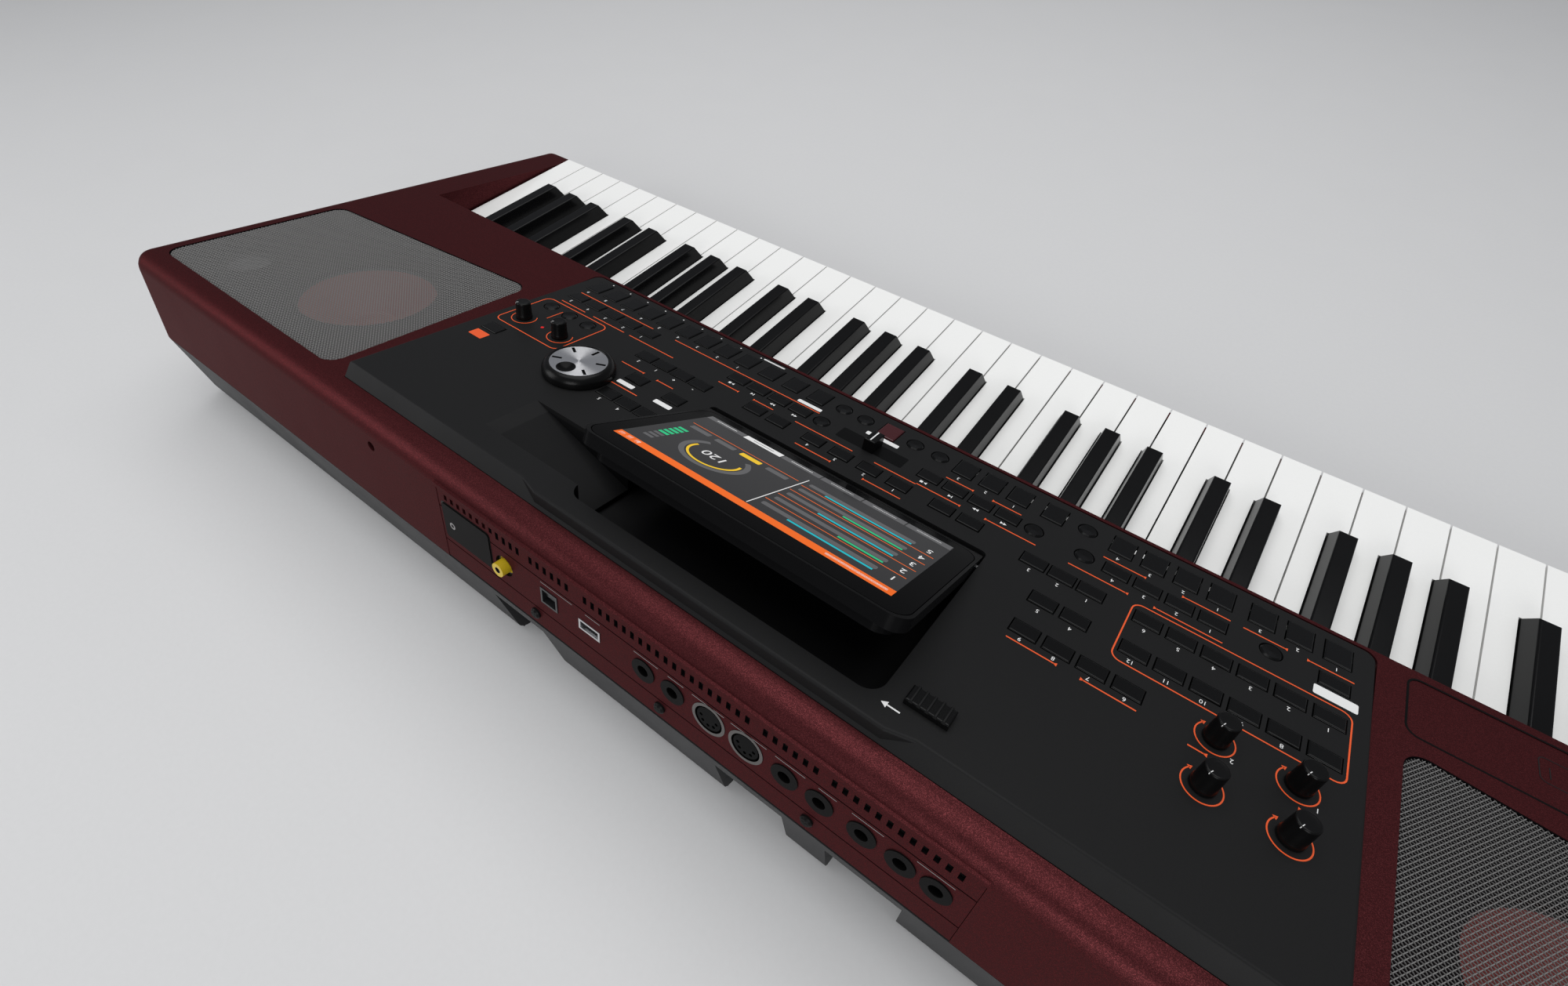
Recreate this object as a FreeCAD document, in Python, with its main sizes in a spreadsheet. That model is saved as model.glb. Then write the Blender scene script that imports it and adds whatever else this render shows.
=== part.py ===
"""Arranger keyboard: a five-octave keyboard instrument with a tilting touch display.

X runs along the instrument (+X is the player's right), +Y points away from the player
and +Z points up. The origin is the middle of the footprint, on the surface it stands on.
All sizes are millimetres and degrees, kept in one sheet and bound to each sub-part.
"""
import FreeCAD, Part
import math
import os
import re
import Sketcher

SIZES = {
    # Case
    "body_length": 1037, "body_depth": 378, "wall": 3, "end_wall": 6, "foot_height": 4,
    "lip_setback": 152, "lip_height": 81.4, "shell_tilt": 11.1, "parting_rear": 61,
    "parting_front": 30, "parting_gap": 0.4, "wall_lean": 13.35, "case_round": 12,
    "base_round": 8, "base_inset": 5, "fit_gap": 0.4, "rail_depth": 8, "rail_height": 45,
    # Keys
    "key_pitch": 23.5, "key_gap": 1, "key_row_x": 55.5, "key_top": 57, "key_front_inset": 11,
    "key_height": 16, "white_length": 190, "key_rail_depth": 12, "key_rail_height": 6,
    "rail_space": 4, "black_slot": 14.6, "black_gap": 0.7, "black_top": 9.6, "black_rise": 12,
    "black_setback": 50, "black_slope": 7, "black_length": 128, "black_body": 6,
    "key_round": 1.2, "key_side_gap": 1.5, "pivot_width": 4, "pivot_gap": 0.3, "pivot_clear": 0.08,
    # Key bed
    "bed_plate": 2, "bed_lift": 7, "bed_rib": 12, "bed_stop_width": 14, "bed_stop_height": 12,
    "contact_board_depth": 40, "board_thickness": 1.6,
    # Control panel
    "panel_tilt": 13.5, "panel_left": -244.5, "panel_right": 283.5, "panel_setback": 2.5,
    "panel_crest": 194.5, "panel_depth": 199.8, "tongue_left": -94, "tongue_right": 137,
    "tongue_rear": 198.7, "tongue_slant": 15, "panel_skin": 3, "panel_skirt": 4,
    "panel_corner": 6, "panel_edge": 1.5, "boss_radius": 3, "boss_s": 29.5, "board_drop": 3.4,
    "board_inset": 8, "board_reach": 155,
    # Display, its tray and its lock
    "display_x": 21, "display_width": 179.5, "display_thickness": 14, "display_plate": 7,
    "display_step": 6, "display_proud": 1.5, "display_hinge_s": 82, "display_rear_s": 187,
    "display_gap": 0.6, "display_open": 19.5, "display_corner": 9, "well_corner": 3, "tray_depth": 27,
    "tray_wall": 2, "glass_thickness": 1.2, "glass_margin": 2, "pin_radius": 2,
    "pin_clear": 0.05, "pin_bite": 6, "lock_x": -89, "lock_s": 178.5, "lock_length": 20,
    "lock_width": 9, "lock_height": 3.5, "lock_stem": 5, "lock_travel": 6, "lock_lift": 0.3,
    # Finger scoop beside the display
    "scoop_x": 183, "scoop_front": 145, "scoop_rear": 180, "scoop_depth": 24,
    # Button caps
    "large_width": 12, "large_depth": 15, "small_width": 13, "small_depth": 8.5,
    "round_radius": 5, "cap_rise": 0.6, "cap_gap": 0.5, "cap_round": 0.8, "cap_web": 1.2,
    "web_gap": 0.3, "web_width": 7, "web_reach": 1.4,
    # Rows of buttons, up the panel from its front edge
    "row_front": 17, "row_pads": 39, "row_set": 58.5, "row_style": 62.7, "row_bank": 86.7,
    "row_mode": 110.4,
    # Knobs, dial and cross fader
    "knob_radius": 5.1, "knob_height": 13, "small_knob_radius": 5, "small_knob_height": 11.5,
    "knob_skirt": 0.3, "knob_dome": 1, "knob_lift": 0.5, "shaft_radius": 3, "shaft_clear": 0.5,
    "shaft_end_gap": 0.3, "knob_x": -220.1, "knob_pitch": 32.1, "knob_row_pitch": 26.7,
    "mic_x": 264.9, "mic_pitch": 34, "mic_s": 86.8, "dial_x": 191, "dial_s": 106.5,
    "dial_radius": 22, "dial_height": 8, "dial_face": 17.7, "dial_step": 0.6,
    "fader_x": 20.5, "fader_s": 39, "fader_slot_width": 2.8, "fader_cap_length": 7,
    "fader_cap_width": 12, "fader_cap_height": 8, "fader_stem": 4, "fader_stem_width": 1.8,
    "fader_travel": 18, "fader_lift": 0.3, "fader_end_gap": 1,
    # Speakers
    "grille_inset": 17, "grille_right_start": 302, "grille_left_end": -258.5,
    "grille_front": 53, "grille_rear": 199, "grille_corner": 10, "grille_taper": 20,
    "grille_thickness": 1.5, "grille_recess": 2, "baffle_thickness": 5, "woofer_radius": 52,
    "woofer_depth": 34, "woofer_x": 65, "woofer_u": 134.5, "cone_radius": 44, "cone_depth": 18,
    "cap_radius": 13, "magnet_radius": 30, "tweeter_radius": 20, "tweeter_depth": 16,
    "tweeter_x": 41, "tweeter_u": 166, "dome_radius": 12, "flange": 3, "flange_gap": 0.3,
    # Touch strip and joystick on the left block
    "strip_left": -440, "strip_front": 6, "strip_rear": 43, "strip_thickness": 2,
    "strip_recess": 2.3, "strip_corner": 5, "strip_bed": 6, "stick_x": -443,
    "stick_setback": 100, "cup_radius": 20, "cup_wall": 3, "cup_depth": 26, "cup_flange": 4,
    "cup_lip": 1.2, "pivot_drop": 11, "ball_radius": 9, "neck_radius": 4, "stick_height": 24,
    "gimbal_width": 8, "gimbal_gap": 1.4, "fork_gap": 0.4, "fork_cheek": 2.6,
    "fork_length": 10, "fork_clear": 2.4,
    # Rear connectors, up the rear wall from the parting line
    "bay_right": 181, "bay_left": -138, "bay_bottom": -2, "bay_top": 53, "plate_foot": 0.9,
    "hood_height": 2.1, "hood_rise": 1.4, "plate_thickness": 2, "plate_gap": 0.2,
    "groove_width": 0.8, "groove_depth": 0.6, "groove_upper": 38.5, "groove_lower": 14.2,
    "jack_v": 27, "jack_bore": 3.25, "jack_radius": 5.5, "jack_nut": 7, "jack_length": 18,
    "jack_end": 2, "jack_proud": 0.6, "socket_recess": 2, "socket_clear": 0.1, "midi_radius": 9.5,
    "midi_barrel": 8.6, "midi_groove": 7.8, "midi_face": 6.8, "midi_length": 12,
    "midi_pin": 0.9, "midi_pin_circle": 4.4, "video_flange": 7, "video_sleeve": 4.2,
    "video_bore": 1.6, "video_length": 7, "video_barrel": 5, "video_hole": 6.4, "usb_b_width": 12,
    "usb_b_height": 11, "usb_a_width": 14.5, "usb_a_height": 7, "usb_length": 14,
    "usb_skin": 1.2, "usb_proud": 0.4, "usb_tongue": 2, "hatch_width": 37.8, "hatch_height": 24,
    "hatch_v": 30.3, "hatch_thickness": 0.6, "hatch_corner": 2, "rear_screw_v": 8.6,
    "vent_pitch": 5.15, "vent_width": 2.4, "vent_foot": 43.7, "vent_short_foot": 45, "vent_top": 48.6,
    # Cable notches in the lower case, and the power inlet in one of them
    "notch_right_x": 128, "inlet_x": -33, "notch_left_x": -97, "notch_width": 40,
    "notch_depth": 14, "notch_top": 46, "inlet_width": 24, "inlet_height": 16,
    "inlet_depth": 18, "inlet_hole_width": 14.5, "inlet_hole_height": 8, "inlet_bore": 12,
    "inlet_pin": 1.2, "inlet_pin_gap": 8.6, "inlet_z": 26, "inlet_proud": 1,
    # Music stand sockets
    "stand_x": 240, "stand_v": 45, "stand_bore": 3, "stand_boss": 6, "stand_depth": 20,
    # Fasteners, feet and boards
    "screw_head_radius": 3.2, "screw_head": 2, "screw_shank": 1.5, "screw_length": 8,
    "screw_clear": 0.1, "case_screw_x": 400, "case_screw_y": 120, "foot_radius": 11,
    "foot_x": 455, "foot_y": 150, "standoff_radius": 4, "standoff_height": 6,
    "standoff_inset": 8, "main_board_length": 300, "main_board_depth": 90, "main_board_x": 60,
    "main_board_y": 115, "supply_length": 120, "supply_depth": 70, "supply_height": 26,
    "supply_x": -230, "supply_y": 115,
}

# Square caps in rows: sub-part, row, left cap, number of caps, pitch and size of cap
SQUARE_CAPS = [
    ("sound_buttons", "row_front", 129.7, 9, 17.2, "large"),
    ("sound_buttons", "row_front", 71.6, 3, 19.2, "large"),
    ("ensemble_buttons", "row_pads", 197.5, 5, 16.8, "small"),
    ("edit_buttons", "row_style", 131.5, 4, 15, "small"),
    ("edit_buttons", "row_bank", 131.5, 2, 30, "small"),
    ("edit_buttons", "row_mode", 131.5, 3, 15, "small"),
    ("edit_buttons", "row_mode", 265.5, 1, 15, "small"),
    ("player_buttons", "row_pads", 71.7, 4, 16, "small"),
    ("player_buttons", "row_set", 74.7, 2, 17.2, "small"),
    ("player_buttons", "row_pads", -66, 4, 16, "small"),
    ("player_buttons", "row_set", -52.1, 2, 16.8, "small"),
    ("keyboard_set_buttons", "row_set", -8.4, 4, 19.1, "small"),
    ("start_button", "row_front", 20.4, 1, 17, "large"),
    ("arranger_buttons", "row_front", -64.8, 3, 17, "large"),
    ("arranger_buttons", "row_front", -85.3, 1, 17, "large"),
    ("arranger_buttons", "row_front", -174.2, 4, 16.9, "large"),
    ("arranger_buttons", "row_front", -228.2, 3, 17, "large"),
    ("style_buttons", "row_pads", -174, 4, 16, "small"),
    ("style_buttons", "row_pads", -228.1, 1, 16, "small"),
    ("style_buttons", "row_style", -228, 6, 16, "small"),
    ("style_buttons", "row_bank", -228, 6, 16, "small"),
    ("mode_buttons", "row_style", -120, 3, 15, "small"),
    ("mode_buttons", "row_bank", -119.7, 2, 16, "small"),
    ("mode_buttons", "row_mode", -151.6, 4, 16, "small"),
]
# Round caps: row and place along it
ROUND_CAPS = [
    ("row_front", (-104, -13.7, 2.9, 37.8, 53.5)),
    ("row_pads", (-200.7, -109, -81.1, 56.2)),
    ("row_style", (230.9, 248.5, 266.1)),
]
JACKS_X = (31.4, 13.1, -50.8, -68.8, -89.7, -107.8, -124)
MIDI_X = (-8.5, -29.6)
VIDEO_X, USB_B_X, USB_A_X, HATCH_X = 130.1, 95.9, 67.2, 159.1
REAR_SCREWS_X = (107.2, 20.1, -66)
# Groups of vent slots: first slot, number of slots and where they start
VENTS = [(138, 8, "vent_short_foot"), (117.6, 4, "vent_foot"), (82.3, 6, "vent_foot"),
         (-28, 20, "vent_foot"), (-63.3, 6, "vent_foot"), (-129, 12, "vent_foot")]
OCTAVES = 5
WHITES_IN_OCTAVE = 7
# White keys that share a run of black keys: first white key and number of white keys
KEY_RUNS = [(0, 3), (3, 4)]

doc = FreeCAD.newDocument("arranger_keyboard")
sheet = doc.addObject("Spreadsheet::Sheet", "dim")
for row, (alias, value) in enumerate(SIZES.items(), start=1):
    sheet.set("A%d" % row, alias)
    sheet.set("B%d" % row, str(value))
    sheet.setAlias("B%d" % row, alias)
doc.recompute()

# Expressions that several sub-parts share
LIP_Y = "(lip_setback - body_depth / 2)"
KEY_LEFT = "(key_row_x - 18 * key_pitch)"
KEY_RIGHT = "(key_row_x + 18 * key_pitch)"
KEY_FRONT = "(key_front_inset - body_depth / 2)"
KEY_BOTTOM = "(key_top - key_height)"
BLACK_BOTTOM = "(key_top - black_body)"
WHITE_PIVOT = "(%s + white_length + key_rail_depth / 2)" % KEY_FRONT
BLACK_PIVOT = "(%s + key_rail_depth + rail_space)" % WHITE_PIVOT
CREST_Y = ("((body_depth / 2 - (lip_height - parting_rear - %s * tan(shell_tilt)) * tan(wall_lean))"
           " / (1 + tan(shell_tilt) * tan(wall_lean)))" % LIP_Y)
PANEL_RISE = "tan(panel_tilt - shell_tilt)"
PANEL_FOOT = "(-panel_depth * %s - 2 * panel_skirt)" % PANEL_RISE
PANEL_UNDER = "(-panel_skin)"
BOARD_TOP = "(-panel_skin - board_drop)"
WELL_LEFT = "(display_x - display_width / 2 - display_gap)"
WELL_RIGHT = "(display_x + display_width / 2 + display_gap)"
WELL_FRONT = "(display_hinge_s - display_thickness / 2 - display_gap)"
WELL_REAR = "(display_rear_s + display_gap)"
HINGE_OUT = "(display_proud - display_thickness / 2)"
DISPLAY_TILT = "(panel_tilt + display_open)"
BAFFLE_BACK = "(-baffle_thickness)"
PLATE_FACE = "(-plate_gap)"
VIDEO_FOOT = "(-2 * plate_gap - plate_thickness - jack_proud)"
LEFT_GRILLE = ("(grille_inset - body_length / 2)", "grille_left_end")
RIGHT_GRILLE = ("(body_length / 2 - grille_inset)", "grille_right_start")
STICK_U = "(stick_setback - lip_setback)"
BED_TOP = "(foot_height + wall + bed_lift + bed_plate)"
NOTCH_FACE = "(body_depth / 2 - base_inset - notch_depth)"

# Each frame is tilted about X: its origin's depth and height, then its angle
FRAMES = {
    "level": ("0", "0", "0"),
    "panel": (LIP_Y, "lip_height", "panel_tilt"),
    "shell": (LIP_Y, "lip_height", "shell_tilt"),
    "wall": ("(body_depth / 2)", "parting_rear", "(wall_lean - 90)"),
    "display": ("(%s + display_hinge_s * cos(panel_tilt) - %s * sin(panel_tilt))" % (LIP_Y, HINGE_OUT),
                "(lip_height + display_hinge_s * sin(panel_tilt) + %s * cos(panel_tilt))" % HINGE_OUT,
                DISPLAY_TILT),
    "stick": ("(%s + %s * cos(shell_tilt) + pivot_drop * sin(shell_tilt))" % (LIP_Y, STICK_U),
              "(lip_height + %s * sin(shell_tilt) - pivot_drop * cos(shell_tilt))" % STICK_U,
              "shell_tilt"),
}


def shell_top(y):
    """Height of the sloping top of the case at a given depth."""
    return "(lip_height + (%s - %s) * tan(shell_tilt))" % (y, LIP_Y)


def rear_face(z):
    """Depth of the leaning rear wall at a given height."""
    return "(body_depth / 2 - (%s - parting_rear) * tan(wall_lean))" % z


def expr(text):
    """Point each size's name in an expression at its cell."""
    return re.sub(r"[a-z_][a-z_0-9]*",
                  lambda word: "dim." + word.group() if word.group() in SIZES else word.group(),
                  str(text))


def bind(thing, **properties):
    """Tie properties of a document object to expressions."""
    for name, text in properties.items():
        thing.setExpression(name, expr(text))
    return thing


def put(thing, frame="level", at=("0", "0", "0"), turn=None):
    """Place an object in a tilted frame: along X, up the slope and out of it."""
    origin_y, origin_z, angle = FRAMES[frame]
    across, along, out = at
    if turn is not None:
        thing.Placement = FreeCAD.Placement(FreeCAD.Vector(), turn)
    elif frame != "level":
        thing.Placement = FreeCAD.Placement(FreeCAD.Vector(),
                                            FreeCAD.Rotation(FreeCAD.Vector(1, 0, 0), 1))
        thing.setExpression("Placement.Rotation.Angle", expr(angle))
    thing.setExpression("Placement.Base.x", expr(across))
    thing.setExpression("Placement.Base.y", expr("%s + (%s) * cos(%s) - (%s) * sin(%s)"
                                                 % (origin_y, along, angle, out, angle)))
    thing.setExpression("Placement.Base.z", expr("%s + (%s) * sin(%s) + (%s) * cos(%s)"
                                                 % (origin_z, along, angle, out, angle)))
    return thing


def box(name, size, at, frame="level"):
    """Make a block from its lowest corner in a frame."""
    block = doc.addObject("Part::Box", name)
    bind(block, Length=size[0], Width=size[1], Height=size[2])
    return put(block, frame, at)


def rod(name, radius, length, at, frame="level"):
    """Make a cylinder that stands out of a frame."""
    return put(bind(doc.addObject("Part::Cylinder", name), Radius=radius, Height=length), frame, at)


def axle(name, radius, length, at, frame="level"):
    """Make a cylinder that lies along X."""
    return put(bind(doc.addObject("Part::Cylinder", name), Radius=radius, Height=length), frame, at,
               FreeCAD.Rotation(FreeCAD.Vector(0, 1, 0), 90))


def fuse(name, pieces):
    """Join touching pieces into one solid."""
    joined = doc.addObject("Part::MultiFuse", name)
    joined.Shapes = pieces
    joined.Refine = True
    return joined


def cut(name, base, tools):
    """Take tools away from a base."""
    result = doc.addObject("Part::Cut", name)
    result.Base = base
    result.Tool = tools[0] if len(tools) == 1 else fuse(name + "_tools", tools)
    result.Refine = True
    return result


def group(name, pieces):
    """Keep separate solids together as one sub-part."""
    together = doc.addObject("Part::Compound", name)
    together.Links = pieces
    return together


def rounded(name, base, radius, wanted):
    """Round the edges of a base that pass a test."""
    doc.recompute()
    result = doc.addObject("Part::Fillet", name)
    result.Base = base
    size = getattr(sheet, radius)
    result.Edges = [(number, size, size) for number, edge in enumerate(base.Shape.Edges, start=1)
                    if not edge.Degenerated and wanted(edge)]
    return result


def middle(edge):
    """Point halfway along an edge."""
    return edge.valueAt((edge.FirstParameter + edge.LastParameter) / 2)


def runs_along(edge, line):
    """Say whether a straight edge runs along a direction."""
    if not isinstance(edge.Curve, (Part.Line, Part.LineSegment)):
        return False
    ends = edge.lastVertex().Point - edge.firstVertex().Point
    return abs(ends.normalize().dot(line)) > math.cos(math.radians(1))


def frame_normal(frame):
    """Direction that points out of one of the sheet's tilted frames."""
    angle = math.radians({"level": 0, "panel": sheet.panel_tilt, "shell": sheet.shell_tilt,
                          "wall": sheet.wall_lean - 90,
                          "display": sheet.panel_tilt + sheet.display_open}[frame])
    return FreeCAD.Vector(0, -math.sin(angle), math.cos(angle))


def sketch_outline(body, role, points):
    """Draw a closed outline on one of a body's planes, with each corner tied to the sheet."""
    plane = [item for item in body.Origin.OriginFeatures if item.Role == role][0]
    sketch = body.newObject("Sketcher::SketchObject", body.Name + "_outline")
    sketch.AttachmentSupport = (plane, [""])
    sketch.MapMode = "FlatFace"
    count = len(points)
    starts = [FreeCAD.Vector(number, number * number, 0) for number in range(count)]
    for number in range(count):
        sketch.addGeometry(Part.LineSegment(starts[number], starts[(number + 1) % count]))
    for number in range(count):
        sketch.addConstraint(Sketcher.Constraint("Coincident", number, 2, (number + 1) % count, 1))
    for number, (across, up) in enumerate(points):
        for kind, text in (("DistanceX", across), ("DistanceY", up)):
            place = sketch.addConstraint(Sketcher.Constraint(kind, -1, 1, number, 1, 1.0))
            sketch.setExpression("Constraints[%d]" % place, expr(text))
    return sketch


def padded(name, role, points, length, frame, at):
    """Extrude an outline square to one of a body's planes."""
    body = doc.addObject("PartDesign::Body", name)
    sketch = sketch_outline(body, role, points)
    pad = body.newObject("PartDesign::Pad", name + "_pad")
    pad.Profile = sketch
    bind(pad, Length=length)
    return put(body, frame, at)


def prism(name, points, start, length, frame="level"):
    """Extrude a side outline, up the slope and out of it, along X."""
    return padded(name, "YZ_Plane", points, length, frame, (start, "0", "0"))


def plate(name, points, bottom, thickness, frame, front_corner, rear_corner=None):
    """Extrude an outline in a frame's own plane and round its front and rear corners."""
    blank = padded(name + "_blank", "XY_Plane", points, thickness, frame, ("0", "0", bottom))
    doc.recompute()
    normal = frame_normal(frame)
    half_way = blank.Shape.BoundBox.Center.y
    if rear_corner is not None:
        blank = rounded(name + "_rear", blank, rear_corner,
                        lambda edge: runs_along(edge, normal) and middle(edge).y > half_way)
    return rounded(name, blank, front_corner,
                   lambda edge: runs_along(edge, normal) and middle(edge).y < half_way)


def rectangle(left, right, front, rear, grow="0"):
    """Outline of a rectangle, grown by a gap on every side."""
    return [("%s - (%s)" % (left, grow), "%s - (%s)" % (front, grow)),
            ("%s + (%s)" % (right, grow), "%s - (%s)" % (front, grow)),
            ("%s + (%s)" % (right, grow), "%s + (%s)" % (rear, grow)),
            ("%s - (%s)" % (left, grow), "%s + (%s)" % (rear, grow))]


def turned(name, points, frame="level", at=("0", "0", "0")):
    """Turn a half outline (radius, height) about its own axis."""
    body = doc.addObject("PartDesign::Body", name)
    sketch = sketch_outline(body, "XZ_Plane", points)
    spun = body.newObject("PartDesign::Revolution", name + "_turn")
    spun.Profile = sketch
    spun.ReferenceAxis = (sketch, ["V_Axis"])
    spun.Angle = 360
    return put(body, frame, at)


# Top shell: a wedge of painted skin with cheeks beside the keys

def cavity(name, front, start, end):
    """Make the hollow of the top shell behind a given depth."""
    skin = "wall / cos(shell_tilt)"
    turn = "(%s - case_round)" % CREST_Y
    shoulder = "(%s - case_round)" % shell_top(CREST_Y)
    below = "(parting_front - case_round)"
    return prism(name, [
        (front, below),
        (front, "%s - %s" % (shell_top(front), skin)),
        (turn, "%s - %s" % (shell_top(turn), skin)),
        ("%s - wall / cos(wall_lean)" % rear_face(shoulder), shoulder),
        ("%s - wall / cos(wall_lean)" % rear_face(below), below),
    ], start, "%s - %s" % (end, start))


def grille_shape(name, side, bottom, thickness, grow):
    """Make a grille-shaped plate, whose front edge runs back towards the end of the case."""
    outer, inner = LEFT_GRILLE if side == "left" else RIGHT_GRILLE
    away = "-1" if side == "left" else "1"
    far = "(%s + %s * (%s))" % (outer, away, grow)
    near = "(%s - %s * (%s))" % (inner, away, grow)
    front = "(grille_front - (%s))" % grow
    rear = "(grille_rear + (%s))" % grow
    return plate(name, [(near, front), (far, "%s + grille_taper" % front), (far, rear), (near, rear)],
                 bottom, thickness, "shell", "grille_corner", "grille_corner")


def speaker_places(side):
    """Give the places along X of one side's woofer and tweeter."""
    if side == "left":
        return "(grille_left_end - woofer_x)", "(grille_inset - body_length / 2 + tweeter_x)"
    return "(grille_right_start + woofer_x)", "(body_length / 2 - grille_inset - tweeter_x)"


def speaker_cuts(side):
    """Make the recess and the sound holes of one side's speakers."""
    woofer_x, tweeter_x = speaker_places(side)
    deep = "(-4 * baffle_thickness)"
    return [
        grille_shape(side + "_grille_recess", side, "-grille_recess", "2 * case_round", "fit_gap"),
        rod(side + "_woofer_hole", "cone_radius", "4 * baffle_thickness",
            (woofer_x, "woofer_u", deep), "shell"),
        rod(side + "_tweeter_hole", "tweeter_radius - flange", "4 * baffle_thickness",
            (tweeter_x, "tweeter_u", deep), "shell"),
    ]


def baffle(side):
    """Make the board behind a grille, which carries the speakers."""
    left, right = LEFT_GRILLE if side == "left" else RIGHT_GRILLE[::-1]
    return box(side + "_baffle", ("%s - %s + 2 * wall" % (right, left),
                                  "grille_rear - grille_front + 2 * wall", "baffle_thickness - wall / 2"),
               ("%s - wall" % left, "grille_front - wall", BAFFLE_BACK), "shell")


def panel_side(front, crest, skirt):
    """Side outline of the wedge-shaped panel: flush in front and proud at the rear."""
    return [(front, "0"), (crest, "0"), ("panel_depth", "-panel_depth * %s" % PANEL_RISE),
            ("panel_depth", "-panel_depth * %s - %s" % (PANEL_RISE, skirt)),
            (front, "-%s * %s - %s" % (front, PANEL_RISE, skirt))]


def stand_holes(name, radius, bottom, length):
    """Make a pair of cylinders at the music stand's sockets."""
    places = ("stand_x", "(panel_left + panel_right - stand_x)")
    return [rod("%s_%d" % (name, number), radius, length, (x, "-stand_v", bottom), "wall")
            for number, x in enumerate(places, start=1)]


def top_shell():
    """Make the painted upper half of the case."""
    front = "(-body_depth / 2)"
    blank = prism("shell_blank", [
        (front, "parting_front"), (front, shell_top(front)),
        (CREST_Y, shell_top(CREST_Y)), ("body_depth / 2", "parting_rear"),
    ], "(-body_length / 2)", "body_length")
    upright = frame_normal("wall").cross(FreeCAD.Vector(1, 0, 0))
    plumb = FreeCAD.Vector(0, 0, 1)
    corners = rounded("shell_corners", blank, "case_round",
                      lambda edge: runs_along(edge, upright) or runs_along(edge, plumb))
    slope = frame_normal("shell").cross(FreeCAD.Vector(1, 0, 0))
    doc.recompute()
    crest = corners.Shape.BoundBox.ZMax
    skin = rounded("shell_skin", corners, "case_round",
                   lambda edge: runs_along(edge, slope) or middle(edge).z > crest - sheet.wall)
    hollow = cut("shell_hollow", skin, [
        cavity("rear_cavity", "(%s - wall)" % LIP_Y, "(end_wall - body_length / 2)",
               "(body_length / 2 - end_wall)"),
        cavity("left_cavity", "(wall - body_depth / 2)", "(end_wall - body_length / 2)",
               "(%s - key_side_gap - wall)" % KEY_LEFT),
        cavity("right_cavity", "(wall - body_depth / 2)", "(%s + key_side_gap + wall)" % KEY_RIGHT,
               "(body_length / 2 - end_wall)"),
    ])
    strip_bed = box("strip_bed", ("grille_left_end - strip_left + 2 * wall",
                                  "strip_rear - strip_front + 2 * wall", "strip_bed - wall / 2"),
                    ("strip_left - wall", "strip_front - wall", "-strip_bed"), "shell")
    hood = box("bay_hood", ("bay_right - bay_left", "hood_height", "wall / 2 + hood_rise"),
               ("bay_left", "-bay_top - hood_height", "-wall / 2"), "wall")
    bosses = stand_holes("stand_boss", "stand_boss", "-stand_depth - wall", "stand_depth + wall / 2")
    solid = fuse("shell_solid", [hollow, baffle("left"), baffle("right"), strip_bed, hood] + bosses)
    bay_length = "%s - %s + 2 * key_side_gap" % (KEY_RIGHT, KEY_LEFT)
    bay_left = "%s - key_side_gap" % KEY_LEFT
    return cut("top_shell", solid, [
        box("key_bay", (bay_length, "lip_setback - rail_depth", "2 * lip_height"),
            (bay_left, "rail_depth - body_depth / 2", "0")),
        box("key_bay_front", (bay_length, "2 * rail_depth", "2 * lip_height"),
            (bay_left, "-rail_depth / 2 - body_depth / 2", "rail_height")),
        plate("panel_opening", rectangle("panel_left", "panel_right", "panel_setback", "panel_depth",
                                         "fit_gap"),
              PANEL_FOOT, "2 * tray_depth", "panel", "panel_corner"),
        box("connector_bay", ("bay_right - bay_left", "bay_top - bay_bottom", "6 * wall"),
            ("bay_left", "-bay_top", "-5 * wall"), "wall"),
        plate("strip_pocket", rectangle("strip_left", "grille_left_end", "strip_front", "strip_rear",
                                        "fit_gap"),
              "-strip_recess", "2 * case_round", "shell", "strip_corner", "strip_corner"),
        rod("stick_hole", "cup_radius + fit_gap", "6 * wall",
            ("stick_x", STICK_U, "-3 * wall"), "shell"),
    ] + stand_holes("stand_bore", "stand_bore", "-stand_depth", "2 * stand_depth")
        + speaker_cuts("left") + speaker_cuts("right"))


# Lower case: a dark tray with cable notches in its rear edge

def notch_box(name, x, grow, top):
    """Make one cable notch, or the block that walls it."""
    return box(name, ("notch_width + 2 * (%s)" % grow, "notch_depth + base_inset + (%s)" % grow, top),
               ("%s - notch_width / 2 - (%s)" % (x, grow), "%s - (%s)" % (NOTCH_FACE, grow),
                "foot_height"))


def standoffs(name, x, y, length, depth):
    """Make four posts that carry a board."""
    return [rod("%s_post_%d" % (name, number), "standoff_radius", "standoff_height + wall / 2",
                ("%s + %s * (%s / 2 - standoff_inset)" % (x, across, length),
                 "%s + %s * (%s / 2 - standoff_inset)" % (y, back, depth), "foot_height + wall / 2"))
            for number, (across, back) in enumerate(((-1, -1), (1, -1), (1, 1), (-1, 1)), start=1)]


def case_screw_places():
    """Places of the screws under the case."""
    return [("%d * case_screw_x" % across, "%d * case_screw_y" % back)
            for across in (-1, 0, 1) for back in (-1, 1)]


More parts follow.
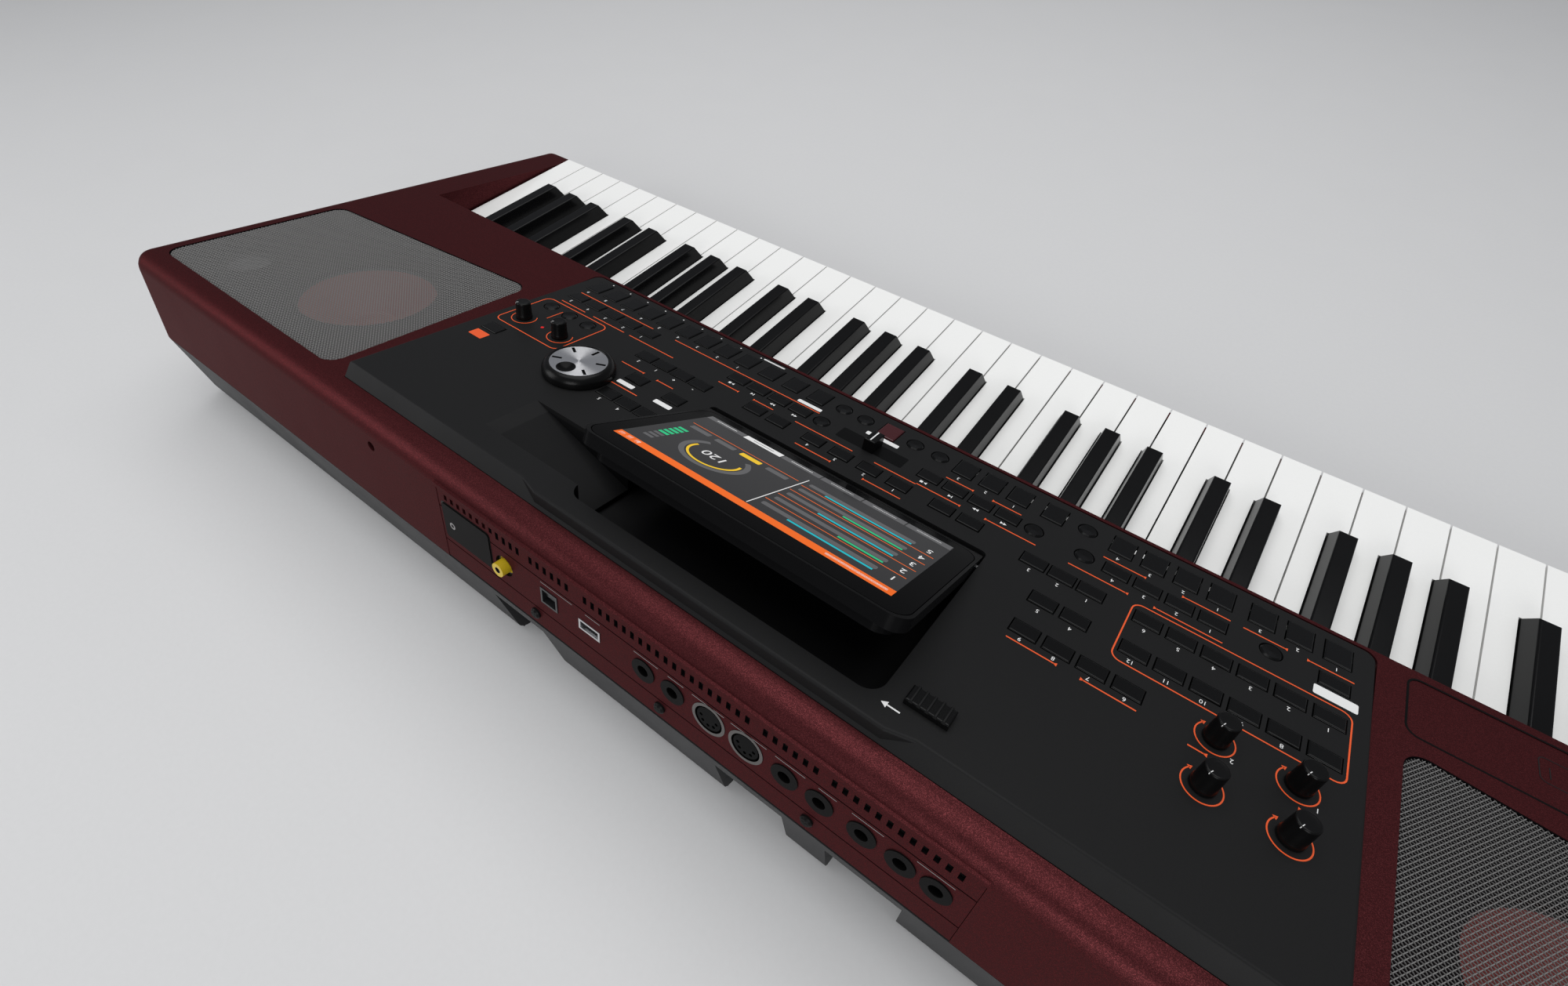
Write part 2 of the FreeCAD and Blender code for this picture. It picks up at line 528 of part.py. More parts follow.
def bottom_case():
    """Make the lower half of the case."""
    rear, front = "(body_depth / 2)", "(-body_depth / 2)"
    top_rear, top_front = "(parting_rear - parting_gap)", "(parting_front - parting_gap)"
    blank = prism("base_blank", [
        (front, top_front), (front + " + base_inset", "foot_height"),
        (rear + " - base_inset", "foot_height"), (rear, top_rear),
    ], "(-body_length / 2)", "body_length")
    corners = rounded("base_corners", blank, "case_round",
                      lambda edge: not runs_along(edge, FreeCAD.Vector(1, 0, 0))
                      and sheet.foot_height + 1 < middle(edge).z
                      and sheet.body_depth / 2 - abs(middle(edge).y) < sheet.case_round)
    shaped = rounded("base_shaped", corners, "base_round",
                     lambda edge: middle(edge).z < sheet.foot_height + 1)
    hollow = cut("base_hollow", shaped, [prism("base_cavity", [
        (front + " + wall", "2 * parting_rear"), (front + " + wall", top_front),
        (front + " + wall + base_inset", "foot_height + wall"),
        (rear + " - wall - base_inset", "foot_height + wall"),
        (rear + " - wall", top_rear), (rear + " - wall", "2 * parting_rear"),
    ], "(end_wall - body_length / 2)", "body_length - 2 * end_wall")])
    rib_length = "%s - %s" % (KEY_RIGHT, KEY_LEFT)
    ribs = [box("bed_rib_%d" % number, (rib_length, "bed_rib", "bed_lift + wall / 2"),
                (KEY_LEFT, y, "foot_height + wall / 2"))
            for number, y in enumerate((KEY_FRONT, "(%s - bed_rib)" % BLACK_PIVOT), start=1)]
    notch_places = (("right", "notch_right_x"), ("middle", "inlet_x"), ("left", "notch_left_x"))
    walls = [notch_box(side + "_notch_walls", x, "wall", "notch_top + wall")
             for side, x in notch_places]
    inner = prism("base_inside", [
        (front + " + wall / 2", top_front),
        (front + " + wall / 2 + base_inset", "foot_height + wall / 2"),
        (rear + " - wall / 2 - base_inset", "foot_height + wall / 2"), (rear + " - wall / 2", top_rear),
    ], "(-body_length / 2 + wall)", "body_length - 2 * wall")
    kept = doc.addObject("Part::Common", "notch_blocks")
    kept.Base = fuse("notch_walls", walls)
    kept.Tool = inner
    solid = fuse("base_solid", [hollow, kept] + ribs
                 + standoffs("board", "main_board_x", "main_board_y", "main_board_length",
                             "main_board_depth")
                 + standoffs("supply", "supply_x", "supply_y", "supply_length", "supply_depth"))
    return cut("bottom_case", solid, [
        notch_box(side + "_notch", x, "0", "notch_top") for side, x in notch_places
    ] + [
        box("inlet_hole", ("inlet_width + 2 * socket_clear", "inlet_depth",
                           "inlet_height + 2 * socket_clear"),
            ("inlet_x - inlet_width / 2 - socket_clear", "%s - inlet_depth" % NOTCH_FACE,
             "inlet_z - inlet_height / 2 - socket_clear")),
    ] + [rod("case_screw_hole_%d" % number, "screw_shank + screw_clear", "4 * wall",
             (x, y, "foot_height - wall"))
         for number, (x, y) in enumerate(case_screw_places(), start=1)])


# Control panel: the black wedge that carries the display and every button

def cap_rows():
    """Give each strip of square caps as its sub-part, row, first cap, count, pitch and cap size."""
    for number, (owner, row, first, count, pitch, size) in enumerate(SQUARE_CAPS, start=1):
        yield "%s_%d" % (owner, number), owner, row, first, count, pitch, size


def round_places():
    """Give the places of the round caps along and up the panel."""
    return [(x, row) for row, places in ROUND_CAPS for x in places]


def knob_places():
    """Give each knob's name, place and whether it is one of the small pair."""
    lower = "row_mode"
    upper = "(row_mode + knob_row_pitch)"
    return [("volume_knob", "knob_x", upper, False),
            ("balance_knob", "(knob_x + knob_pitch)", upper, False),
            ("assign_knob_1", "knob_x", lower, False),
            ("assign_knob_2", "(knob_x + knob_pitch)", lower, False),
            ("mic_effect_knob", "mic_x", "mic_s", True),
            ("mic_volume_knob", "(mic_x - mic_pitch)", "mic_s", True)]


def boss_places():
    """Places along the panel of the posts that carry its board."""
    return ("(panel_left + board_inset + 2 * boss_radius)", "(%s - display_width / 8)" % WELL_LEFT,
            "(%s + boss_radius)" % WELL_RIGHT, "(panel_right - board_inset - 2 * boss_radius)")


def panel_holes():
    """Make the cutters for every cap, shaft and slot in the panel."""
    deep, through = "(-3 * panel_skin)", "6 * panel_skin"
    holes = []
    for name, owner, row, first, count, pitch, size in cap_rows():
        for number in range(count):
            holes.append(box("%s_hole_%d" % (name, number + 1),
                             (size + "_width + 2 * cap_gap", size + "_depth + 2 * cap_gap", through),
                             ("%s - %s_width / 2 - cap_gap" % (first + number * pitch, size),
                              "%s - %s_depth / 2 - cap_gap" % (row, size), deep)))
    for number, (x, row) in enumerate(round_places(), start=1):
        holes.append(rod("round_hole_%d" % number, "round_radius + cap_gap", through, (x, row, deep)))
    for name, x, s, small in knob_places():
        holes.append(rod(name + "_hole", "shaft_radius + shaft_clear", through, (x, s, deep)))
    holes.append(rod("dial_hole", "shaft_radius + shaft_clear", through, ("dial_x", "dial_s", deep)))
    holes.append(box("fader_slot", ("2 * fader_travel + fader_stem + 2 * fader_end_gap",
                                    "fader_slot_width", through),
                     ("fader_x - fader_travel - fader_stem / 2 - fader_end_gap",
                      "fader_s - fader_slot_width / 2", deep)))
    holes.append(box("lock_slot", ("lock_travel + lock_stem + 2 * cap_gap", "lock_stem + 2 * cap_gap",
                                   through),
                     ("lock_x - lock_stem / 2 - cap_gap", "lock_s - lock_stem / 2 - cap_gap", deep)))
    return holes


def control_panel():
    """Make the panel's skin, with its skirt, its holes and the posts behind it."""
    wedge = prism("panel_wedge", panel_side("panel_setback", "panel_crest", "panel_skirt"),
                  "panel_left", "panel_right - panel_left")
    tongue = padded("panel_tongue", "XY_Plane", [
        ("tongue_left", "panel_crest"), ("tongue_left + tongue_slant", "tongue_rear"),
        ("tongue_right - tongue_slant", "tongue_rear"), ("tongue_right", "panel_crest"),
        ("tongue_right", "panel_crest - panel_skirt"), ("tongue_left", "panel_crest - panel_skirt"),
    ], "2 * panel_skirt", "level", ("0", "0", "-2 * panel_skirt"))
    blank = fuse("panel_blank", [wedge, tongue])
    up = FreeCAD.Vector(0, 0, 1)
    corners = rounded("panel_corners", blank, "panel_corner",
                      lambda edge: runs_along(edge, up) and middle(edge).y < sheet.panel_crest / 2)
    eased = rounded("panel_eased", corners, "panel_edge", lambda edge: abs(middle(edge).z) < 0.01)
    inside = prism("panel_inside", [
        ("panel_setback + wall", PANEL_UNDER), ("panel_crest - wall / 2", PANEL_UNDER),
        ("panel_depth - wall", "-panel_depth * %s - panel_skin" % PANEL_RISE),
        ("panel_depth - wall", "-3 * tray_depth"), ("panel_setback + wall", "-3 * tray_depth"),
    ], "panel_left + wall", "panel_right - panel_left - 2 * wall")
    well = plate("display_well", rectangle(WELL_LEFT, WELL_RIGHT, WELL_FRONT, WELL_REAR),
                 "-3 * panel_skin", "6 * panel_skin", "level", "well_corner", "display_corner")
    hollow = scoop("panel_scoop", "0", "2 * panel_skin", "0")
    skin = cut("panel_skin_cut", eased, [inside, well, hollow] + panel_holes())
    posts = [rod("panel_post_%d" % number, "boss_radius", "board_drop + panel_skin / 2",
                 (x, "boss_s", BOARD_TOP)) for number, x in enumerate(boss_places(), start=1)]
    return put(fuse("control_panel", [skin] + posts), "panel")


def scoop(name, drop, top, grow):
    """Make a wedge that runs down from the panel's face to the display's well."""
    edge = "(%s - display_gap)" % WELL_RIGHT
    return padded(name, "XZ_Plane", [("scoop_x", top), ("scoop_x", "-(%s)" % drop),
                                     (edge, "-scoop_depth - (%s)" % drop), (edge, top)],
                  "scoop_rear - scoop_front + 2 * (%s)" % grow, "level",
                  ("0", "scoop_rear + (%s)" % grow, "0"))


def control_board():
    """Make the switch board under the panel, cut out round the display's tray."""
    left, right = "(panel_left + board_inset)", "(panel_right - board_inset)"
    gap = "2 * tray_wall"
    bottom = "(%s - board_thickness)" % BOARD_TOP
    front = "board_inset"
    strips = [
        box("board_front", ("%s - %s" % (right, left), "%s - %s - board_inset" % (WELL_FRONT, gap),
                            "board_thickness"), (left, front, bottom)),
        box("board_left", ("%s - %s - %s" % (WELL_LEFT, gap, left), "board_reach - board_inset",
                           "board_thickness"), (left, front, bottom)),
        box("board_right", ("%s - %s - %s" % (right, WELL_RIGHT, gap),
                            "scoop_front - %s - board_inset" % gap, "board_thickness"),
            ("%s + %s" % (WELL_RIGHT, gap), front, bottom)),
    ]
    return put(fuse("control_board", strips), "panel")


def square_strip(name, row, first, count, pitch, size):
    """Make one moulded strip of square caps on a common web."""
    web_top = "(-panel_skin - web_gap)"
    web = box(name + "_web", ("%s + %s_width + 2 * web_reach" % ((count - 1) * pitch, size), "web_width",
                              "cap_web"),
              ("%s - %s_width / 2 - web_reach" % (first, size), "%s - web_width / 2" % row,
               "%s - cap_web" % web_top))
    caps = []
    for number in range(count):
        block = box("%s_block_%d" % (name, number + 1),
                    (size + "_width", size + "_depth", "cap_rise - %s + cap_web / 2" % web_top),
                    ("%s - %s_width / 2" % (first + number * pitch, size),
                     "%s - %s_depth / 2" % (row, size), "%s - cap_web / 2" % web_top))
        caps.append(rounded("%s_cap_%d" % (name, number + 1), block, "cap_round",
                            lambda edge: middle(edge).z > sheet.cap_rise - 0.01))
    return fuse(name, [web] + caps)


def square_buttons():
    """Make each sub-part of square caps from its strips."""
    strips = {}
    for name, owner, row, first, count, pitch, size in cap_rows():
        strips.setdefault(owner, []).append(square_strip(name + "_strip", row, first, count, pitch, size))
    return [put(group(owner, pieces), "panel") for owner, pieces in strips.items()]


def round_buttons():
    """Make the round caps, each with the flange that keeps it behind the panel."""
    flange = "(-panel_skin - web_gap)"
    caps = [turned("round_cap_%d" % number, [
        ("0", "%s - cap_web" % flange), ("round_radius + web_reach", "%s - cap_web" % flange),
        ("round_radius + web_reach", flange), ("round_radius", flange),
        ("round_radius", "cap_rise - cap_round"), ("round_radius - cap_round", "cap_rise"),
        ("0", "cap_rise - cap_round / 2"),
    ], "level", (x, row, "0")) for number, (x, row) in enumerate(round_places(), start=1)]
    return put(group("round_buttons", caps), "panel")


def knob(name, x, s, small):
    """Make a knob with its shaft."""
    kind = "small_knob" if small else "knob"
    radius, height = kind + "_radius", kind + "_height"
    return turned(name, [
        ("0", BOARD_TOP + " + shaft_end_gap"), ("shaft_radius", BOARD_TOP + " + shaft_end_gap"),
        ("shaft_radius", "knob_lift"), ("%s + knob_skirt" % radius, "knob_lift"),
        ("%s + knob_skirt" % radius, "knob_lift + 2 * knob_dome"), (radius, "knob_lift + 3 * knob_dome"),
        ("%s - knob_skirt" % radius, "%s - knob_dome" % height), ("%s - 2 * knob_skirt" % radius, height),
        ("0", height),
    ], "panel", (x, s, "0"))


def value_dial():
    """Make the data dial with its raised rim."""
    return turned("value_dial", [
        ("0", BOARD_TOP + " + shaft_end_gap"), ("shaft_radius", BOARD_TOP + " + shaft_end_gap"),
        ("shaft_radius", "knob_lift"), ("dial_radius", "knob_lift"),
        ("dial_radius", "dial_height / 2"), ("dial_radius - 2 * dial_step", "dial_height"),
        ("dial_face", "dial_height"), ("dial_face", "dial_height - dial_step"),
        ("0", "dial_height - dial_step"),
    ], "panel", ("dial_x", "dial_s", "0"))


def slider(name, x, s, length, width, height, lift, stem_length, stem_width):
    """Make a sliding cap, its stem through the panel and the foot that keeps it there."""
    foot = "(-panel_skin - web_gap - cap_web)"
    block = box(name + "_block", (length, width, "%s - %s" % (height, lift)),
                ("%s - %s / 2" % (x, length), "%s - %s / 2" % (s, width), lift))
    cap = rounded(name + "_cap", block, "cap_round",
                  lambda edge: middle(edge).z > getattr(sheet, height) - 0.01)
    stem = box(name + "_stem", (stem_length, stem_width, "%s + cap_web - %s" % (lift, foot)),
               ("%s - %s / 2" % (x, stem_length), "%s - %s / 2" % (s, stem_width), foot))
    toe = box(name + "_foot", (stem_length, width, "cap_web"),
              ("%s - %s / 2" % (x, stem_length), "%s - %s / 2" % (s, width), foot))
    return put(fuse(name, [cap, stem, toe]), "panel")


# Display: a hinged touch screen over a tray in the panel

def display_tray():
    """Make the tray under the display, hung behind the panel."""
    basin = plate("tray_basin", rectangle(WELL_LEFT, WELL_RIGHT, WELL_FRONT, WELL_REAR, "tray_wall"),
                  "-tray_depth - tray_wall", "tray_depth + tray_wall - panel_skin", "level",
                  "well_corner", "display_corner")
    chute = cut("tray_chute", scoop("tray_chute_blank", "2 * tray_wall", "0", "tray_wall"), [
        box("tray_chute_top", ("body_length", "body_depth", "2 * tray_depth"), ("0", "0", PANEL_UNDER))])
    outer = fuse("tray_outer", [basin, chute])
    inner = plate("tray_inner", rectangle(WELL_LEFT, WELL_RIGHT, WELL_FRONT, WELL_REAR),
                  "-tray_depth", "2 * tray_depth", "level", "well_corner", "display_corner")
    bore = axle("tray_bore", "pin_radius + pin_clear", "%s - %s + 4 * tray_wall" % (WELL_RIGHT, WELL_LEFT),
                ("%s - 2 * tray_wall" % WELL_LEFT, "display_hinge_s", HINGE_OUT))
    hollow = scoop("tray_scoop", "0", "2 * panel_skin", "0")
    return put(cut("display_tray", outer, [inner, bore, hollow]), "panel")


def display_housing():
    """Make the display's body: a thin plate with a thicker back and a round hinge edge."""
    left = "display_x - display_width / 2"
    right = "display_x + display_width / 2"
    reach = "(display_rear_s - display_hinge_s)"
    half = "display_thickness / 2"
    front_plate = plate("display_plate_blank", rectangle(left, right, "-display_thickness / 2", reach),
                        "%s - display_plate" % half, "display_plate", "level",
                        "display_corner", "display_corner")
    back = plate("display_back", rectangle(left + " + display_step", right + " - display_step", "0",
                                           reach + " - display_step"),
                 "-" + half, "display_thickness - display_plate / 2", "level",
                 "display_corner", "display_corner")
    nose = axle("display_nose", half, "display_width - 2 * display_step",
                (left + " + display_step", "0", "0"))
    bar = axle("display_bar", half, "display_width", (left, "0", "0"))
    tip = doc.addObject("Part::Common", "display_front")
    tip.Base = fuse("display_round", [front_plate, nose, back])
    rest = box("display_rest", ("display_width", reach, "display_thickness"), (left, "0", "-" + half))
    tip.Tool = fuse("display_envelope", [bar, rest])
    pocket = glass_plate("glass_pocket", "fit_gap", "2 * glass_thickness")
    bore_depth = "(pin_bite + display_step + display_gap)"
    bores = [axle("display_bore_%d" % number, "pin_radius + pin_clear", bore_depth, (x, "0", "0"))
             for number, x in enumerate((left, "%s - %s" % (right, bore_depth)), start=1)]
    return put(cut("display_housing", tip, [pocket] + bores), "display")


def glass_plate(name, grow, thickness):
    """Make the display's glass, or the pocket that it lies in."""
    reach = "(display_rear_s - display_hinge_s)"
    return plate(name, rectangle("display_x - display_width / 2 + glass_margin",
                                 "display_x + display_width / 2 - glass_margin",
                                 "glass_margin", reach + " - glass_margin", grow),
                 "display_thickness / 2 - glass_thickness", thickness, "level",
                 "display_corner", "display_corner")


def display_hinge_pins():
    """Make the two pins that the display turns on."""
    length = "pin_bite + display_step + display_gap + tray_wall"
    return put(group("display_hinge_pins", [
        axle("hinge_pin_left", "pin_radius", length,
             (WELL_LEFT + " - tray_wall", "display_hinge_s", HINGE_OUT)),
        axle("hinge_pin_right", "pin_radius", length,
             ("%s + tray_wall - (%s)" % (WELL_RIGHT, length), "display_hinge_s", HINGE_OUT)),
    ]), "panel")


# Keys: one moulded comb of white keys and one of black keys in each octave

def key_run_places(octave):
    """Give the middle of each black key in an octave, with the white tails between equally wide."""
    places = []
    for first, whites in KEY_RUNS:
        start = "(%s + %d * key_pitch)" % (KEY_LEFT, octave * WHITES_IN_OCTAVE + first)
        tail = "((%d * key_pitch - %d * black_slot) / %d)" % (whites, whites - 1, whites)
        places += ["(%s + %d * %s + %s * black_slot)" % (start, number + 1, tail, number + 0.5)
                   for number in range(whites - 1)]
    return places


def pivot_line(name, radius, y, z):
    """Make a round bar along the line the keys turn on, or the groove that takes it."""
    return axle(name, radius, "%s - %s" % (KEY_RIGHT, KEY_LEFT), (KEY_LEFT, y, z))


def white_keys(octave):
    """Make an octave's white keys on their rail."""
    name = "white_keys_octave_%d" % (octave + 1)
    count = WHITES_IN_OCTAVE + (1 if octave == OCTAVES - 1 else 0)
    first = octave * WHITES_IN_OCTAVE
    keys = [box("%s_key_%d" % (name, number + 1),
                ("key_pitch - key_gap", "white_length + wall", "key_height"),
                ("%s + %d * key_pitch + key_gap / 2" % (KEY_LEFT, first + number), KEY_FRONT, KEY_BOTTOM))
            for number in range(count)]
    rail = box(name + "_rail", ("%d * key_pitch - key_gap" % count, "key_rail_depth", "key_rail_height"),
               ("%s + %d * key_pitch + key_gap / 2" % (KEY_LEFT, first), KEY_FRONT + " + white_length",
                KEY_BOTTOM))
    slots = [box("%s_slot_%d" % (name, number),
                 ("black_slot", "white_length - black_setback", "2 * key_height"),
                 (x + " - black_slot / 2", KEY_FRONT + " + black_setback", KEY_BOTTOM + " - wall"))
             for number, x in enumerate(key_run_places(octave), start=1)]
    slots.append(pivot_line(name + "_groove", "pivot_width / 2 + pivot_clear", WHITE_PIVOT, KEY_BOTTOM))
    slots.append(box(name + "_step", ("%d * key_pitch" % (count + 1), "2 * wall", "key_height"),
                     ("%s + %d * key_pitch" % (KEY_LEFT, first), KEY_FRONT + " + white_length",
                      KEY_BOTTOM + " + key_rail_height")))
    comb = cut(name + "_comb", fuse(name + "_blank", keys + [rail]), slots)
    front = sheet.key_front_inset - sheet.body_depth / 2 + 0.1
    underside = sheet.key_top - sheet.key_height + 0.1
    return rounded(name, comb, "key_round",
                   lambda edge: middle(edge).y < front and middle(edge).z > underside)


def black_keys(octave):
    """Make an octave's black keys on their rail, with tapered sides and sloping fronts."""
    name = "black_keys_octave_%d" % (octave + 1)
    width = "(black_slot - 2 * black_gap)"
    front = "(%s + black_setback + black_gap)" % KEY_FRONT
    bottom = BLACK_BOTTOM
    pieces = []
    places = key_run_places(octave)
    for number, x in enumerate(places, start=1):
        top = doc.addObject("Part::Wedge", "%s_top_%d" % (name, number))
        bind(top, Xmin="-%s / 2" % width, Xmax="%s / 2" % width,
             X2min="-black_top / 2", X2max="black_top / 2",
             Ymin="0", Ymax="black_rise", Zmin="-black_length", Zmax="0",
             Z2min="-black_length", Z2max="-black_slope")
        pieces.append(put(top, "level", (x, front, "key_top"),
                          FreeCAD.Rotation(FreeCAD.Vector(1, 0, 0), 90)))
        pieces.append(box("%s_body_%d" % (name, number),
                          (width, "%s - %s" % (BLACK_PIVOT, front), "black_body"),
                          ("%s - %s / 2" % (x, width), front, bottom)))
    pieces.append(box(name + "_rail", ("%s - %s + %s" % (places[-1], places[0], width), "key_rail_depth",
                                       "black_body"),
                      ("%s - %s / 2" % (places[0], width), BLACK_PIVOT + " - key_rail_depth / 2", bottom)))
    comb = cut(name + "_comb", fuse(name + "_blank", pieces), [
        pivot_line(name + "_groove", "pivot_width / 2 + pivot_clear", BLACK_PIVOT, bottom)])
    crown = sheet.key_top + sheet.black_rise
    return rounded(name, comb, "key_round", lambda edge: middle(edge).z > crown - 0.01)


def keybed_frame():
    """Make the frame under the keys, with a round-topped ridge for each set of key rails."""
    length = "%s - %s" % (KEY_RIGHT, KEY_LEFT)
    bottom = "(foot_height + wall + bed_lift)"
    rear = "(%s + key_rail_depth)" % BLACK_PIVOT

    def rail(name, y, width, top):
        """Make one rail that stands on the plate."""
        return box(name, (length, width, "%s - %s" % (top, bottom)), (KEY_LEFT, y, bottom))

    return fuse("keybed_frame", [
        rail("bed_plate_blank", KEY_FRONT, "%s - %s" % (rear, KEY_FRONT), BED_TOP),
        rail("bed_stop", KEY_FRONT, "bed_stop_width", "(%s + bed_stop_height)" % BED_TOP),
        rail("white_ridge", WHITE_PIVOT + " - pivot_width / 2", "pivot_width",
             "(%s - pivot_gap)" % KEY_BOTTOM),
        rail("black_ridge", BLACK_PIVOT + " - pivot_width / 2", "pivot_width",
             "(%s - pivot_gap)" % BLACK_BOTTOM),
        pivot_line("white_pivot", "pivot_width / 2", WHITE_PIVOT, KEY_BOTTOM),
        pivot_line("black_pivot", "pivot_width / 2", BLACK_PIVOT, BLACK_BOTTOM),
    ])


def key_contact_board():
    """Make the contact board that lies on the key bed."""
    return box("key_contact_board",
               ("%s - %s" % (KEY_RIGHT, KEY_LEFT), "contact_board_depth", "board_thickness"),
               (KEY_LEFT, LIP_Y + " - contact_board_depth / 2", BED_TOP))


# Speakers behind the grilles

def woofer(side):
    """Make a woofer: frame, magnet and cone."""
    x = speaker_places(side)[0]
    return turned("woofer_" + side, [
        ("0", "-woofer_depth"), ("magnet_radius", "-woofer_depth"),
        ("magnet_radius", "-woofer_depth + cap_radius"), ("cone_radius + flange", "-flange"),
        ("woofer_radius", "-flange"), ("woofer_radius", "0"), ("cone_radius", "0"),
        ("cone_radius - flange", "-flange / 2"), ("cap_radius", "-cone_depth"),
        ("cap_radius / 2", "-cone_depth + flange"), ("0", "-cone_depth + 4 * flange / 3"),
    ], "shell", (x, "woofer_u", BAFFLE_BACK + " - flange_gap"))


def tweeter(side):
    """Make a tweeter: flange, body and dome."""
    x = speaker_places(side)[1]
    return turned("tweeter_" + side, [
        ("0", "-tweeter_depth"), ("dome_radius", "-tweeter_depth"), ("dome_radius", "-flange"),
        ("tweeter_radius", "-flange"), ("tweeter_radius", "0"), ("dome_radius + flange", "0"),
        ("dome_radius", "-flange / 2"), ("dome_radius / 2", "flange / 2"), ("0", "flange / 2"),
    ], "shell", (x, "tweeter_u", BAFFLE_BACK + " - flange_gap"))


def speaker_grille(side):
    """Make a grille, which lies in its recess."""
    return grille_shape("speaker_grille_" + side, side, "-grille_recess + flange_gap",
                        "grille_thickness", "0")


# Left block: touch strip and joystick

def touch_strip():
    """Make the touch strip, which lies in its pocket."""
    return plate("touch_strip", rectangle("strip_left", "grille_left_end", "strip_front", "strip_rear"),
                 "-strip_recess", "strip_thickness", "shell", "strip_corner", "strip_corner")


def joystick_housing():
    """Make the cup that carries the joystick, hung in its hole by a flange."""
    inside = "(cup_radius - cup_wall)"
    cup = turned("stick_cup", [
        ("0", "-cup_depth"), ("cup_radius", "-cup_depth"), ("cup_radius", "pivot_drop"),
        ("cup_radius + cup_flange", "pivot_drop"), ("cup_radius + cup_flange", "pivot_drop + cup_lip / 2"),
        ("cup_radius", "pivot_drop + cup_lip"), (inside, "pivot_drop + cup_lip"),
        (inside, "-cup_depth + cup_wall"), ("0", "-cup_depth + cup_wall"),
    ])
    bore = axle("stick_bore", "pin_radius + pin_clear", "2 * cup_radius - cup_wall",
                ("-cup_radius + cup_wall / 2", "0", "0"))
    return put(cut("joystick_housing", cup, [bore]), "stick", ("stick_x", "0", "0"))


def joystick_gimbal():
    """Make the cross bar that tips the joystick to and fro."""
    inside = "(cup_radius - cup_wall - gimbal_gap)"
    bar = box("gimbal_bar", ("2 * " + inside, "gimbal_width", "gimbal_width"),
              ("-" + inside, "-gimbal_width / 2", "-gimbal_width / 2"))
    ends = axle("gimbal_ends", "pin_radius", "2 * cup_radius - 2 * cup_wall + cup_wall / 2",
                ("-cup_radius + cup_wall - cup_wall / 4", "0", "0"))
    cross = bind(doc.addObject("Part::Cylinder", "gimbal_cross"), Radius="pin_radius",
                 Height="gimbal_width + 2 * (fork_gap + fork_cheek)")
    put(cross, "level", ("0", "gimbal_width / 2 + fork_gap + fork_cheek", "0"),
        FreeCAD.Rotation(FreeCAD.Vector(1, 0, 0), 90))
    return put(fuse("joystick_gimbal", [bar, ends, cross]), "stick", ("stick_x", "0", "0"))


def joystick_lever():
    """Make the lever, whose fork straddles the cross bar."""
    outer = "(gimbal_width + 2 * (fork_gap + fork_cheek))"
    top = "(gimbal_width / 2 + fork_clear)"
    fork = box("lever_fork", ("fork_length", outer, "%s + 2 * neck_radius" % top),
               ("-fork_length / 2", "-%s / 2" % outer, "-neck_radius"))
    slot = box("lever_slot", ("2 * fork_length", "gimbal_width + 2 * fork_gap", "2 * " + top),
               ("-fork_length", "-gimbal_width / 2 - fork_gap", "-" + top))
    bore = bind(doc.addObject("Part::Cylinder", "lever_bore"), Radius="pin_radius + pin_clear",
                Height="2 * " + outer)
    put(bore, "level", ("0", outer, "0"), FreeCAD.Rotation(FreeCAD.Vector(1, 0, 0), 90))
    stick = turned("lever_stick", [
        ("0", top), ("neck_radius", top), ("neck_radius", "stick_height - ball_radius"),
        ("ball_radius", "stick_height - ball_radius / 2"), ("ball_radius", "stick_height"),
        ("ball_radius - knob_dome", "stick_height + knob_dome"), ("0", "stick_height + knob_dome"),
    ])
    return put(cut("joystick_lever", fuse("lever_blank", [fork, stick]), [slot, bore]), "stick",
               ("stick_x", "0", "0"))


# Rear connectors

def jack(number, x):
    """Make one jack socket with its nut and its blind bore."""
    return turned("jack_%d" % number, [
        ("0", "-jack_length"), ("jack_radius", "-jack_length"), ("jack_radius", "0"), ("jack_nut", "0"),
        ("jack_nut", "jack_proud"), ("jack_bore", "jack_proud"), ("jack_bore", "-jack_length + jack_end"),
        ("0", "-jack_length + jack_end"),
    ], "wall", (x, "-jack_v", PLATE_FACE))


def midi_socket(number, x):
    """Make one round five-pin socket with its metal rim."""
    face = turned("midi_face_%d" % number, [
        ("0", "-midi_length"), ("midi_barrel", "-midi_length"), ("midi_barrel", "0"), ("midi_radius", "0"),
        ("midi_radius", "jack_proud / 2"), ("midi_groove", "jack_proud / 2"),
        ("midi_groove", "-socket_recess"),
        ("midi_face", "-socket_recess"), ("midi_face", "0"), ("0", "0"),
    ])
    pins = [rod("midi_%d_pin_%d" % (number, pin), "midi_pin", "2 * socket_recess",
                ("midi_pin_circle * cos(%d)" % angle, "midi_pin_circle * sin(%d)" % angle,
                 "-socket_recess"))
            for pin, angle in enumerate(range(0, 181, 45), start=1)]
    return put(cut("midi_%d" % number, face, pins), "wall", (x, "-jack_v", PLATE_FACE))


def video_socket():
    """Make the video socket: a flange and a bored sleeve."""
    return turned("video_socket", [
        ("0", "-video_length"), ("video_barrel", "-video_length"), ("video_barrel", "0"),
        ("video_flange", "0"),
        ("video_flange", "jack_proud"), ("video_sleeve", "jack_proud"), ("video_sleeve", "video_length"),
        ("video_bore", "video_length"), ("video_bore", "0"), ("0", "0"),
    ], "wall", (VIDEO_X, "-jack_v", VIDEO_FOOT))


